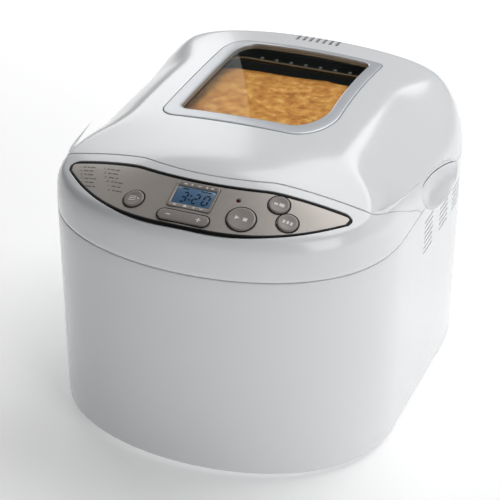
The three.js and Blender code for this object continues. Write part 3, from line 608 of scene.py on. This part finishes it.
def scoop(side, grow):
    """The finger scoop: a shallow tilted ellipsoid pressed into each side across the seam."""
    turn = Matrix.Rotation(-0.26, 4, "X")
    rings = []
    for k in range(1, 32):
        polar = math.pi * k / 32
        ring = []
        for i in range(64):
            angle = 2 * math.pi * i / 64
            p = Vector((
                (20 + grow) * math.sin(polar) * math.cos(angle),
                (57 + grow) * math.sin(polar) * math.sin(angle),
                -(21 + grow) * math.cos(polar),
            ))
            ring.append(turn @ p + Vector((side * (HALF_WIDTH + 6), from_front(221), SEAM_Z)))
        rings.append(ring)
    return loft("scoop", rings, False)


def slot_cutter(length, height, centre, axis):
    """A slot with round ends, 14 mm deep along X or 40 mm along Z."""
    ring = []
    for i in range(24):
        angle = 2 * math.pi * i / 24
        shift = (length - height) / 2 * (1 if math.cos(angle) > 0 else -1)
        ring.append((shift + height / 2 * math.cos(angle), height / 2 * math.sin(angle)))
    if axis == "x":
        rings = [[(x, u, v) for u, v in ring] for x in (-7, 7)]
    else:
        rings = [[(v, u, z) for u, v in reversed(ring)] for z in (-20, 20)]
    return loft("slot", [[tuple(a + b for a, b in zip(p, centre)) for p in r] for r in rings], False)


# %% [markdown]
# ## Housing
# One deep moulding with a draft of 1.3 mm, open at the top, with finger scoops and louvres at the
# sides. Its rim has a small radius where it meets the cover, which shows as the seam's soft line.

# %% Housing
top = SEAM_Z - 0.4
profile = [
    (DRAFT + 2.2, 4.0), (DRAFT + 0.9, 4.6), (DRAFT + 0.25, 5.8), (DRAFT, 7.5),
    *[(DRAFT * (1 - k / 12), 7.5 + (top - 9.0) * k / 12) for k in range(1, 12)],
    (0.0, top - 1.0), (0.12, top - 0.45), (0.4, top - 0.12), (0.8, top),
    (WALL, top), (DRAFT + WALL, 4.0),
]
housing = loft("housing", [[(x, y, z) for x, y in inset_plan(i)] for i, z in profile])
for side in (-1, 1):
    backing = scoop(side, WALL)
    levels = ((DRAFT + 1, 6.0), (DRAFT, 12.0), (0.0, top - 0.5))
    inner = [[(x, y, z) for x, y in inset_plan(i + 0.6)] for i, z in levels]
    whole = loft("whole", inner, False)
    carve(housing, carve(backing, whole, "INTERSECT"), "UNION")
    carve(housing, scoop(side, 0))
    slots = [
        slot_cutter(24, 1.7, (side * HALF_WIDTH, from_front(middle), 147 + 5 * k), "x")
        for middle, count in ((189, 7), (233, 5), (271, 5))
        for k in range(count)
    ]
    carve(housing, joined(slots))
settle(housing, "housing_shell", "base", "white_shell", white, "main_housing")

# %% [markdown]
# ## Front cover
# The cover carries the panel in a recess and closes the housing in front of the lid. Behind the
# panel it has a bulkhead, and its deck runs back round the oven chamber under the lid.


# %% Front cover
def rounded_rect(half_x, half_y, radius, z, centre_y=CHAMBER_Y, steps=12):
    ring = []
    for sx, sy, begin in ((1, -1, -90), (1, 1, 0), (-1, 1, 90), (-1, -1, 180)):
        for i in range(steps + 1):
            angle = math.radians(begin + 90 * i / steps)
            ring.append((
                sx * (half_x - radius) + radius * math.cos(angle),
                centre_y + sy * (half_y - radius) + radius * math.sin(angle),
                z,
            ))
    return ring


cover = carve(outer_dome(), dome(3.2, 150))
carve(cover, front_region(0), "INTERSECT")
bulkhead = carve(dome(1.2, 190), front_region(-0.05), "INTERSECT")
carve(bulkhead, front_region(-2.6))
deck = prism(inset_plan(WALL + 0.5), 189.4, SEAM_Z - 0.8)
carve(cover, bulkhead, "UNION")
carve(cover, deck, "UNION")
carve(cover, loft("mouth", [rounded_rect(120.4, 100.4, 30, z) for z in (180, 215)], False))
for side in (-1, 1):
    carve(cover, scoop(side, WALL + 0.5))
carve(cover, carve(prism(panel_outline(0.35), 200, 300), dome(2, 150)))
settle(cover, "front_cover_shell", "base", "white_shell", white, "front_cover")

# %% [markdown]
# ## Lid
# A hollow moulding under the same crowned surface. A narrow gap parts its front edge from the
# cover, the window's frame drops into an opening, and steam leaves by seven slots at the rear.

# %% Lid
lid = carve(outer_dome(), dome(WALL, 150))
carve(lid, front_region(1.2))
skirt = carve(dome(1.2, 226), front_region(1.25))
carve(skirt, front_region(4), "INTERSECT")
carve(lid, skirt, "UNION")
for side in (-1, 1):
    behind = dome(0.6, 194)
    carve(lid, carve(scoop(side, WALL), behind, "INTERSECT"), "UNION")
    carve(lid, scoop(side, 0))
carve(lid, prism(window_outline(11.5), 200, 300))
vents = [slot_cutter(15, 2.8, (6.3 * k, from_front(321), 255), "z") for k in range(-3, 4)]
carve(lid, joined(vents))
carve(lid, prism([(-200, 159), (200, 159), (200, 200), (-200, 200)], 186.5, 196.5))
print("lid", len(lid.data.polygons), "faces before its hinges")

# %% [markdown]
# The lid turns on two knuckles joined to its rear wall by webs. Each sits between the ears of a
# pressed bracket on the deck, so the lid can swing through 80 degrees.

# %% Lid hinges
HINGE_X, HINGE_Y, HINGE_Z = (-60, 60), 169.3, 198.5


def block(low, high):
    (x0, y0, z0), (x1, y1, z1) = low, high
    return prism([(x0, y0), (x1, y0), (x1, y1), (x0, y1)], z0, z1)


def cross_rod(radius, x0, x1, y, z, sides=32):
    """A cylinder along X."""
    turn = [2 * math.pi * i / sides for i in range(sides)]
    rings = [[(x, y + radius * math.cos(a), z + radius * math.sin(a)) for a in turn] for x in (x0, x1)]
    return loft("rod", rings, False)


for x in HINGE_X:
    carve(lid, block((x - 15, 159.3, 186.5), (x + 15, 189.3, 198.5)))
    carve(lid, cross_rod(3.3, x - 10, x + 10, HINGE_Y, HINGE_Z), "UNION")
    carve(lid, block((x - 10, 166.3, 200.5), (x + 10, 171.8, 204.5)), "UNION")
    carve(lid, cross_rod(2.1, x - 30, x + 30, HINGE_Y, HINGE_Z))
    for end in (-1, 1):
        carve(lid, block((x + end * 12.2 - 2, 164.3, 189.5), (x + end * 12.2 + 2, 178.3, 205.5)))
settle(lid, "lid_moulding", "lid", "white_shell", white, "lid_shell")

# %% [markdown]
# ## Window
# A silver-lacquered frame with rounded edges holds the pane. It is lofted round the window's
# outline and follows the lid's crown, with a narrow dark joint between it and the lid.


# %% Window
def along_top(outline, height):
    return [(x, y, top_height(x, y) + height) for x, y in outline]


section = [
    (11, -4.2), (11, -0.1), (10.8, 0.25), (10.2, 0.52), (9.4, 0.6),
    (1.6, 0.6), (0.7, 0.48), (0.15, 0.15), (0, -0.3), (0, -4.2),
]
trim = loft("trim", [along_top(window_outline(m), h) for m, h in section])
settle(trim, "window_trim", "lid", "window_trim", silver, "window_frame")

pane_shape = carve(prism(window_outline(-0.35), 210, 300), dome(0.95, 150), "INTERSECT")
carve(pane_shape, dome(3.8, 140))
settle(pane_shape, "window_pane", "lid", "clear_glass", glass, "window_glass")

# %% [markdown]
# ## Lid liner
# A pressed, coated heat shield in the shape of a hat, with its own inner pane under the window.
# The upper side is coloured darker as painted shade of the closed lid, and a tan silicone seal and rivets
# hold the inner pane.

# %% Lid liner
hat = [
    (124, 104, 30, 197), (124, 104, 30, 199), (115, 95, 26, 199), (110, 93, 26, 229),
    (100, 90, 26, 242), (83, 85, 24, 249),
    (68, 66.5, 14, 249, INNER_PANE_Y), (68, 66.5, 14, 247, INNER_PANE_Y),
    (81.5, 83.5, 22, 247), (98, 88, 24, 240), (108, 91, 24, 228), (113, 93, 24, 197),
]
liner = loft("liner", [rounded_rect(*ring) for ring in hat])
settle(liner, "lid_liner_pressing", "lid", "nonstick", coating, "lid_liner", angle=50)
# The first seven bands, the upper side, take the darker copy of the coating as painted shade.
liner.data.materials.append(shaded_liner_coating)
around = len(liner.data.polygons) // len(hat)
for face in liner.data.polygons:
    face.material_index = 1 if face.index // around < 7 else 0

seal = loft("seal", [
    rounded_rect(68.6 + grow, 67.1 + grow, 15, z, INNER_PANE_Y)
    for grow, z in ((1.6, 249.05), (1.6, 249.9), (0, 249.9), (0, 249.05))
])
tan = finish("tan silicone seal", "#B49C7C", "#A58C6C", (0.45, 0.6), grain=0.6, depth=0.01, IOR=1.43)
settle(seal, "inner_pane_seal", "lid", "black_rubber", tan)


def turned(name, profile, sides=48, frame_matrix=None):
    """A solid turned about Z from (radius, z) points listed from its outside bottom upwards."""
    turn = [2 * math.pi * i / sides for i in range(sides)]
    rings = [[(r * math.cos(a), r * math.sin(a), z) for a in turn] for r, z in profile]
    made = loft(name, rings, False)
    if frame_matrix:
        made.data.transform(frame_matrix)
    return made


zinc = finish(
    "dull zinc plated rivet", "#C9CBCC", "#B9BBBD", (0.4, 0.5), grain=0.4, depth=0.004, metallic=0.4
)
rivet_head = [(1.9, 249.0), (1.8, 249.5), (1.1, 249.95), (0.2, 250.1)]
rivets = joined([
    turned("rivet", rivet_head, 20, Matrix.Translation((x / 1000, 0.1138, 0)))
    for x in range(-42, 43, 14)
])
settle(rivets, "liner_rivets", "lid", "steel", zinc)

# %% [markdown]
# ## Control panel
# A lens-shaped lacquered overlay inside a gloss black border, both following the cover's crown.
# Holes for the keys, the display and the lamp are square to the surface where they lie.


# %% Control panel
def panel_frame(x, distance):
    """The place on the panel at x and a distance from the front, with Z square to the surface."""
    y, step = from_front(distance), 0.5
    slope_x = (top_height(x + step, y) - top_height(x - step, y)) / (2 * step)
    slope_y = (top_height(x, y + step) - top_height(x, y - step)) / (2 * step)
    turn = Vector((0, 0, 1)).rotation_difference(Vector((-slope_x, -slope_y, 1)))
    return Matrix.Translation(Vector((x, y, top_height(x, y))) / 1000) @ turn.to_matrix().to_4x4()


def on_panel(made, x, distance):
    made.data.transform(panel_frame(x, distance))
    return made


ROUND_KEYS = {
    "menu_button": (-48, 26.5, 8.5),
    "start_stop_button": (44.7, 27, 11.5),
    "loaf_size_button": (67.5, 50.6, 8.5),
    "crust_button": (79.5, 37.9, 8.5),
}
ROCKER = (0, 15.2, 21.8, 5.3)
DISPLAY = (0, 36.2, 18.6, 13.1)
LAMP = (36, 43, 1.7)


def pill(half_length, half_height, steps=16):
    ring = []
    for side, begin in ((1, -90), (-1, 90)):
        for i in range(steps + 1):
            angle = math.radians(begin + 180 * i / steps)
            ring.append((
                side * (half_length - half_height) + half_height * math.cos(angle),
                half_height * math.sin(angle),
            ))
    return ring


def plate(half_x, half_y, radius, z):
    return rounded_rect(half_x, half_y, radius, z, 0, 5)


def panel_holes(extra):
    def bored(radius, sides=48):
        return turned("hole", [(radius + extra, -12), (radius + extra, 12)], sides)

    holes = [on_panel(bored(radius), x, d) for x, d, radius in ROUND_KEYS.values()]
    x, d, half_length, half_height = ROCKER
    holes.append(on_panel(prism(pill(half_length + extra, half_height + extra), -12, 12), x, d))
    x, d, half_width, half_height = DISPLAY
    rings = [plate(half_width + extra, half_height + extra, 2, z) for z in (-12, 12)]
    holes.append(on_panel(loft("hole", rings, False), x, d))
    x, d, radius = LAMP
    holes.append(on_panel(bored(radius, 24), x, d))
    return joined(holes)


section = [
    (0, -1.7), (0, -0.3), (-0.3, -0.08), (-0.9, -0.02), (-1.9, -0.05), (-2.6, -0.25), (-2.6, -1.7),
]
border = loft("border", [along_top(panel_outline(m), h) for m, h in section])
settle(border, "panel_border_trim", "base", "black_plastic", black, "panel_border")

overlay = carve(prism(panel_outline(-2.7), 200, 300), dome(0.2, 150), "INTERSECT")
carve(overlay, dome(1.7, 140))
carve(overlay, panel_holes(0.5))
settle(overlay, "panel_overlay", "base", "panel_lacquer", taupe, "control_fascia")

# %% [markdown]
# ## Keys
# Moulded caps with a soft rim and a slightly dished top, each in a thin black ring. The timer's
# long key rocks between its two ends.

# %% Keys
for name, (x, d, radius) in ROUND_KEYS.items():
    cap = turned("cap", [
        (radius - 0.3, -2.0), (radius, -1.7), (radius, 0.35), (radius - 0.12, 0.72), (radius - 0.45, 1.0),
        (radius - 1.0, 1.15), (radius - 1.8, 1.12), (radius * 0.5, 0.9), (radius * 0.2, 0.82), (0.1, 0.8),
    ], 72)
    carve(cap, turned("stem", [(2.5, -10), (2.5, -2)], 24), "UNION")
    settle(on_panel(cap, x, d), name + "_cap", name, "button_grey", key_grey, name, angle=40)

x, d, half_length, half_height = ROCKER
levels = [(0.3, -2.4), (0, -2.1), (0, 0.3), (0.15, 0.62), (0.5, 0.84), (1.1, 0.9)]
rings = [[(u, v, z) for u, v in pill(half_length - i, half_height - i)] for i, z in levels]
rocker = loft("rocker", rings, False)
for u in (-14, 14):
    stem = turned("stem", [(2, -8), (2, -1)], 24, Matrix.Translation((u / 1000, 0, 0)))
    carve(rocker, stem, "UNION")
on_panel(rocker, x, d)
settle(rocker, "timer_rocker_cap", "timer_rocker", "button_grey", key_grey, "timer_rocker", angle=40)


def rim(outlines):
    """A thin raised ring from an outer and an inner outline."""
    outer, inner = outlines
    corners = ((outer, -0.3), (outer, 0.12), (inner, 0.12), (inner, -0.3))
    return loft("rim", [[(u, v, z) for u, v in outline] for outline, z in corners])


def circle(radius, sides=64):
    angles = [2 * math.pi * i / sides for i in range(sides)]
    return [(radius * math.cos(angle), radius * math.sin(angle)) for angle in angles]


rings = [on_panel(rim((circle(r + 1.15), circle(r + 0.5))), x, d) for x, d, r in ROUND_KEYS.values()]
x, d, half_length, half_height = ROCKER
outlines = [pill(half_length + grow, half_height + grow) for grow in (1.1, 0.5)]
rings.append(on_panel(rim(outlines), x, d))
settle(joined(rings), "key_rings", "base", "black_plastic", black)

# %% [markdown]
# ## Display
# A grey bezel round a blue liquid-crystal cell that shows a time in seven-segment numerals, and a
# red indicator lamp, unlit, beside it.

# %% Display
x, d, half_width, half_height = DISPLAY
bezel = loft("bezel", [
    plate(half_width, half_height, 1.8, -2.7), plate(half_width, half_height, 1.8, 0.1),
    plate(half_width - 0.3, half_height - 0.3, 1.6, 0.3), plate(17.4, 9.8, 1.4, 0.3),
    plate(17.0, 9.4, 1.2, 0.15), plate(16.5, 9.0, 1, -0.4), plate(16.5, 9.0, 1, -2.7),
])
settle(on_panel(bezel, x, d), "display_bezel_frame", "base", "panel_lacquer", key_grey, "display_bezel")
layers = [plate(16.3, 8.8, 0.9, -1.9), plate(16.3, 8.8, 0.9, -0.55), plate(16.1, 8.6, 0.8, -0.45)]
screen = loft("screen", layers, False)
settle(on_panel(screen, x, d), "display_cell", "base", "display_glass", lcd, "display_screen")
lamp_x, lamp_d, radius = LAMP
profile = [(radius, -5), (radius, 0.15), (radius * 0.8, 0.42), (radius * 0.4, 0.5), (0.1, 0.5)]
lens = on_panel(turned("lens", profile, 32), lamp_x, lamp_d)
lamp_red = finish(
    "smoked red lamp lens", "#4A1512", "#3A0F0D", (0.1, 0.2), grain=0.8, depth=0.0, IOR=1.55
)
settle(lens, "indicator_lens", "base", "black_plastic", lamp_red, "indicator_lamp")

# %% [markdown]
# ## Printed marks
# Screen-printed marks stand about a tenth of a millimetre proud: numbered rows for the programs,
# simple signs on the keys and round the display, and the display's numerals. They are only bars,
# dots and numerals.

# %% Printed marks
SEGMENTS = {
    "0": "abcdef", "1": "bc", "2": "abged", "3": "abgcd", "4": "fgbc", "5": "afgcd",
    "6": "afgedc", "7": "abc", "8": "abcdefg", "9": "abcdfg",
}


def bar(u, v, width, height, lean=0.0):
    """A rectangle centred on (u, v), leaning sideways by a share of its height."""
    w, h = width / 2, height / 2
    shift = lean * h
    return [
        (u - w - shift, v - h), (u + w - shift, v - h), (u + w + shift, v + h), (u - w + shift, v + h),
    ]


def disc(u, v, radius):
    return [(u + a, v + b) for a, b in circle(radius, 20)]


def numeral(sign, u, v, width, height, stroke):
    """A seven-segment numeral whose bars are a little apart."""
    w, h = (width - stroke) / 2, (height - stroke) / 2
    long, tall = width - 2.2 * stroke, height / 2 - 1.6 * stroke
    places = {
        "a": (0, h, long, stroke), "g": (0, 0, long, stroke), "d": (0, -h, long, stroke),
        "f": (-w, h / 2, stroke, tall), "b": (w, h / 2, stroke, tall),
        "e": (-w, -h / 2, stroke, tall), "c": (w, -h / 2, stroke, tall),
    }
    lean = 0.12
    chosen = [places[segment] for segment in SEGMENTS[sign]]
    return [bar(u + du + lean * dv, v + dv, wide, high, lean) for du, dv, wide, high in chosen]


def tilted(outline, degrees):
    """An outline turned about its own origin."""
    c, s = math.cos(math.radians(degrees)), math.sin(math.radians(degrees))
    return [(u * c - v * s, u * s + v * c) for u, v in outline]


def printed(name, body, slot, material, marks):
    """Marks as (outline, x, distance, lift): each a thin slab square to the panel."""
    slabs = []
    for outline, x, d, lift in marks:
        slab = loft("mark", [[(u, v, z) for u, v in outline] for z in (lift - 0.05, lift + 0.05)], False)
        slabs.append(on_panel(slab, x, d))
    return settle(joined(slabs), name, body, slot, material)


display_x, display_d = DISPLAY[:2]
clock = []
for sign, u in (("3", -7.6), ("2", 2.6), ("0", 11.2)):
    clock += numeral(sign, u, -1.6, 5.6, 11.0, 1.25)
clock += [disc(-2.3, 0.8, 0.8), disc(-2.6, -3.6, 0.8), bar(8.6, 6.9, 9, 0.7), bar(-9, 6.9, 5, 0.7)]
clock = [(outline, display_x, display_d, -0.38) for outline in clock]
printed("display_numerals", "base", "display_glass", print_dark, clock)

above, below = 11.2, -11.2
signs = [
    bar(-11, above, 2.6, 1.1), disc(-5.5, above, 0.8), bar(1, above, 3.2, 0.7),
    disc(7.5, above, 0.9), bar(12, above, 2.2, 1.3),
    bar(-12, below, 2.4, 1.2), bar(-3, below, 2.8, 1.8), bar(-3, below + 1.1, 1.4, 0.8),
    disc(4.5, below, 0.8), bar(11, below, 3, 0.7),
]
DASHES = ((3.6, 2.4, 4.2), (5.2, 3.4), (2.6, 5.6), (4.4, 2.2, 2.6), (3.0, 4.4), (5.8, 2.6))
ROW_TILT = -9
marks = []
for column, (left, first, shift, drop) in enumerate(((-113.5, 61.8, 2.5, 4.3), (-89, 57.4, 2.7, 4.5))):
    for row, dashes in enumerate(DASHES):
        label = str(column * 6 + row + 1)
        shapes = [(o, 1.6 * k) for k, sign in enumerate(label) for o in numeral(sign, 0, 0, 1.2, 2.2, 0.34)]
        along = 1.6 * len(label) + 1.4
        for dash in dashes[column:] + dashes[:column]:
            shapes.append((bar(dash / 2, 0, dash, 0.95, 0.3), along))
            along += dash + 1.1
        for outline, place_u in shapes:
            fall = place_u * math.tan(math.radians(ROW_TILT))
            row_x, row_d = left + shift * row + place_u, first - drop * row + fall
            marks.append((tilted(outline, ROW_TILT), row_x, row_d, -0.15))
printed("panel_print", "base", "panel_lacquer", print_grey, marks)
signs = [(outline, display_x, display_d, 0.3) for outline in signs]
printed("display_signs", "base", "panel_lacquer", print_light, signs)

key_marks = {
    "menu_button": [bar(-1, 1.8, 6, 0.8), bar(-1, 0, 6, 0.8), bar(-1, -1.8, 6, 0.8), disc(4, 0, 0.8)],
    "start_stop_button": [[(-5.2, -2), (-1.4, 0), (-5.2, 2)], bar(3.2, 0, 3.4, 3.4)],
    "loaf_size_button": [bar(-2.6, -0.4, 3, 2.2), bar(2.2, 0, 4.2, 3.2)],
    "crust_button": [bar(-3.2, 0, 2, 3.2), bar(0, 0, 2, 3.2), bar(3.2, 0, 2, 3.2)],
}
for name, outlines in key_marks.items():
    x, d, radius = ROUND_KEYS[name]
    printed(name + "_print", name, "button_grey", print_light, [(o, x, d, 0.98) for o in outlines])
x, d = ROCKER[:2]
rock_marks = [bar(-13, 0, 4, 0.9), bar(13, 0, 4, 0.9), bar(13, 1.25, 0.9, 1.6), bar(13, -1.25, 0.9, 1.6)]
rock_marks = [(outline, x, d, 0.92) for outline in rock_marks]
printed("timer_rocker_print", "timer_rocker", "button_grey", print_light, rock_marks)

# %% [markdown]
# ## Chamber and pan
# The chamber is a deep-drawn steel box with a rolled flange. The pan is drawn thinner, coated, and
# flared to a rolled rim, and its wire handle lies folded back behind the rim.


# %% Chamber and pan
def round_hole(radius, z):
    ring = []
    for x, y, _ in rounded_rect(60, 60, 40, z):
        angle = math.atan2(y - CHAMBER_Y, x)
        ring.append((radius * math.cos(angle), CHAMBER_Y + radius * math.sin(angle), z))
    return ring


chamber = loft("chamber", [
    rounded_rect(113.2, 93.2, 27, 57.6), rounded_rect(119.2, 99.2, 29, 192.5),
    rounded_rect(126, 106, 34, 192.5), rounded_rect(126, 106, 34, 193.6),
    rounded_rect(118.8, 98.8, 28.4, 193.6), rounded_rect(118, 98, 28, 192.6),
    rounded_rect(112, 92, 26, 60.4), rounded_rect(111, 91, 25.5, 59.2), rounded_rect(109.5, 89.5, 25, 58.8),
    round_hole(20, 58.8), round_hole(20, 57.6),
])
for hole_x, hole_z, radius in ((-14, 78, 4.6), (14, 78, 4.6), (58, 112, 4)):
    tool = turned("hole", [(radius, -10), (radius, 10)], 32)
    place = Matrix.Translation((hole_x / 1000, -0.048, hole_z / 1000))
    tool.data.transform(place @ Matrix.Rotation(math.pi / 2, 4, "X"))
    carve(chamber, tool)
settle(chamber, "chamber_pressing", "base", "steel", steel, "oven_chamber")

pan = loft("pan", [
    rounded_rect(84.5, 60.5, 19, 70.4), rounded_rect(85.6, 61.6, 20, 72.0),
    rounded_rect(91.8, 67.8, 22, 184.6), rounded_rect(93.2, 69.2, 23.4, 185.1),
    rounded_rect(94.7, 70.7, 24.7, 185.7), rounded_rect(95, 71, 25, 186.5),
    rounded_rect(94.6, 70.6, 24.6, 187.4), rounded_rect(93.6, 69.6, 23.6, 188),
    rounded_rect(91.4, 67.4, 21.4, 188), rounded_rect(90.5, 66.5, 20.5, 187.3),
    rounded_rect(84.6, 60.6, 19.2, 75), rounded_rect(83.6, 59.6, 18.5, 73),
    rounded_rect(81.5, 57.5, 18, 72), round_hole(6.4, 72), round_hole(6.4, 70.4),
])
settle(pan, "pan_pressing", "pan", "nonstick", coating, "baking_pan")


def tube(name, path, radius, body, slot, material, *replaced):
    """A round wire or tube along a path of points in millimetres."""
    data = bpy.data.curves.new(name, "CURVE")
    data.dimensions = "3D"
    data.bevel_depth = radius / 1000
    data.bevel_resolution = 5
    data.use_fill_caps = True
    spline = data.splines.new("POLY")
    spline.points.add(len(path) - 1)
    for point, p in zip(spline.points, path):
        point.co = (p[0] / 1000, p[1] / 1000, p[2] / 1000, 1)
    spline.use_smooth = True
    data.materials.append(material)
    made = bpy.data.objects.new(name, data)
    bpy.context.scene.collection.objects.link(made)
    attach(made, body)
    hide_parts(*replaced)
    return made


def arc(cx, cy, radius, begin, end, steps=10):
    angles = [math.radians(lerp(begin, end, i / steps)) for i in range(steps + 1)]
    return [(cx + radius * math.cos(a), cy + radius * math.sin(a)) for a in angles]


flat = [(93, 0), *arc(96.5, 4, 4, -90, 0, 6), *arc(73.5, 49, 27, 0, 90)]
tilt = math.radians(8)
path = [
    (x, CHAMBER_Y + reach * math.cos(tilt), 165 + reach * math.sin(tilt))
    for x, reach in [*flat, *[(-x, reach) for x, reach in reversed(flat)]]
]
tube("pan_bail", path, 2.2, "handle", "steel", wire_steel, "pan_handle")

flat = [(14, -65), (14, -44), *arc(22, -42, 8, 180, 90, 6)]
for corner_x, corner_y, begin in ((77, -12, -90), (77, 102, 0), (-77, 102, 90), (-77, -12, 180)):
    flat += arc(corner_x, corner_y, 22, begin, begin + 90)
flat += [*arc(-22, -42, 8, 90, 0, 6), (-14, -44), (-14, -65)]
tube("element_tube", [(x, y, 78) for x, y in flat], 3.2, "base", "steel", sheath, "heating_element")

# %% [markdown]
# ## Loaf
# A tall white loaf that has risen over the pan's rim, as the window shows it. It is a rounded
# block, subdivided, then pushed in and out by smooth noise so that its crown is uneven.

# %% Loaf
rings = [
    (74, 52, 16, 100), (79, 56, 18, 101.5), (81, 58, 19, 108), (84, 60.5, 20, 150), (86.5, 62.5, 21, 184),
    (88, 65, 22, 193), (91, 69, 24, 204), (93, 72, 26, 218), (92, 71.5, 28, 230),
    (87, 68, 28, 237), (79, 61, 26, 241), (58, 42, 20, 242.8),
]
loaf = loft("loaf", [rounded_rect(*ring, steps=6) for ring in rings], False)
rounding = loaf.modifiers.new("rounding", "SUBSURF")
rounding.levels = 2
mesh = bpy.data.meshes.new_from_object(loaf.evaluated_get(bpy.context.evaluated_depsgraph_get()))
loaf.modifiers.clear()
loaf.data = mesh
for vertex in mesh.vertices:
    swell = noise.fractal(vertex.co * 60, 0.8, 2.1, 4) * 0.0012 + noise.noise(vertex.co * 20) * 0.0018
    vertex.co -= vertex.normal * (0.001 - swell)
    vertex.co.z = min(vertex.co.z, 0.2455)
settle(loaf, "loaf", "pan", "nonstick", crust, angle=60)

# %% [markdown]
# ## Parts kept from the CAD model
# Each carried-over solid gets the finish of its real material and process.

# %% Finishes of the kept parts
KEPT = {
    white: "base_plate",
    rubber: "foot_front_left foot_front_right foot_rear_left foot_rear_right lid_gasket "
    "drive_belt cord_gland",
    steel: "hinge_bracket_left hinge_bracket_right element_clip_left element_clip_right pan_seat "
    "bearing_bridge motor_bracket",
    turned_steel: "hinge_pin_left hinge_pin_right temperature_sensor paddle_shaft upper_coupling "
    "shaft_circlip drive_shaft motor_shaft motor_armature",
    cast: "pan_foot_ring handle_lug_left handle_lug_right",
    coating: "kneading_paddle",
    bronze: "shaft_bush",
    motor_paint: "motor_body",
    can: "motor_capacitor",
    black_plastic: "drive_pulley motor_pulley lower_coupling",
    board: "control_board power_board",
    inner_glass: "inner_glass",
}
kept = set()
for material, names in KEPT.items():
    for name in names.split():
        kept.add(name)
        piece = nodes[name]
        piece.data.materials.clear()
        piece.data.materials.append(material)
shown = {name for name, piece in nodes.items() if not piece.hide_render}
print("kept", len(kept), "without a finish", sorted(shown - kept))

# %% [markdown]
# ## Floor and light
# A softly glowing white table serves as the plain pale floor. One softbox stands at the front
# right, a large one above and behind, and a fill at the rear left, so that the bowed front shades
# towards the left. A weak lamp under the liner's pane lights the loaf.

# %% Floor and light
edges = ((-9000, -9000, 0), (9000, -9000, 0), (9000, 9000, 0), (-9000, 9000, 0))
floor = solid("floor", edges, [(0, 1, 2, 3)])
backdrop = finish(
    "matt translucent acrylic light table", "#FBFBFB", "#F8F8F8", (0.7, 0.8), grain=2, depth=0.01,
    patch=400, IOR=1.49, Emission_Color=linear("#FFFFFF"), Emission_Strength=0.24,
)
floor.data.materials.append(backdrop)


def area(name, place, target, size, power, colour="#FFFFFF"):
    data = bpy.data.lights.new(name, "AREA")
    data.shape, data.size, data.size_y, data.energy = "RECTANGLE", size[0], size[1], power
    data.color = linear(colour)[:3]
    light = bpy.data.objects.new(name, data)
    light.location = place
    light.rotation_mode = "QUATERNION"
    light.rotation_quaternion = (Vector(target) - Vector(place)).to_track_quat("-Z", "Y")
    bpy.context.scene.collection.objects.link(light)
    return light


middle = (0, 0, 0.13)
area("right softbox", (1.72, -1.18, 0.85), middle, (0.9, 1.5), 14)
area("top softbox", (0.6, 1.0, 1.9), middle, (2.0, 1.6), 33)
area("left fill", (-1.35, 1.5, 1.3), middle, (1.3, 1.4), 13)
lamp = area("chamber light", (0, 0.045, 0.2466), (0, 0.0451, 0), (0.134, 0.13), 0.095, "#FFEBD0")
lamp.visible_camera = False

world = bpy.data.worlds.new("studio")
bpy.context.scene.world = world
world.use_nodes = True
world.node_tree.nodes["Background"].inputs["Color"].default_value = linear("#F2F4F6")
world.node_tree.nodes["Background"].inputs["Strength"].default_value = 0.1
bpy.context.scene.view_settings.view_transform = "Standard"
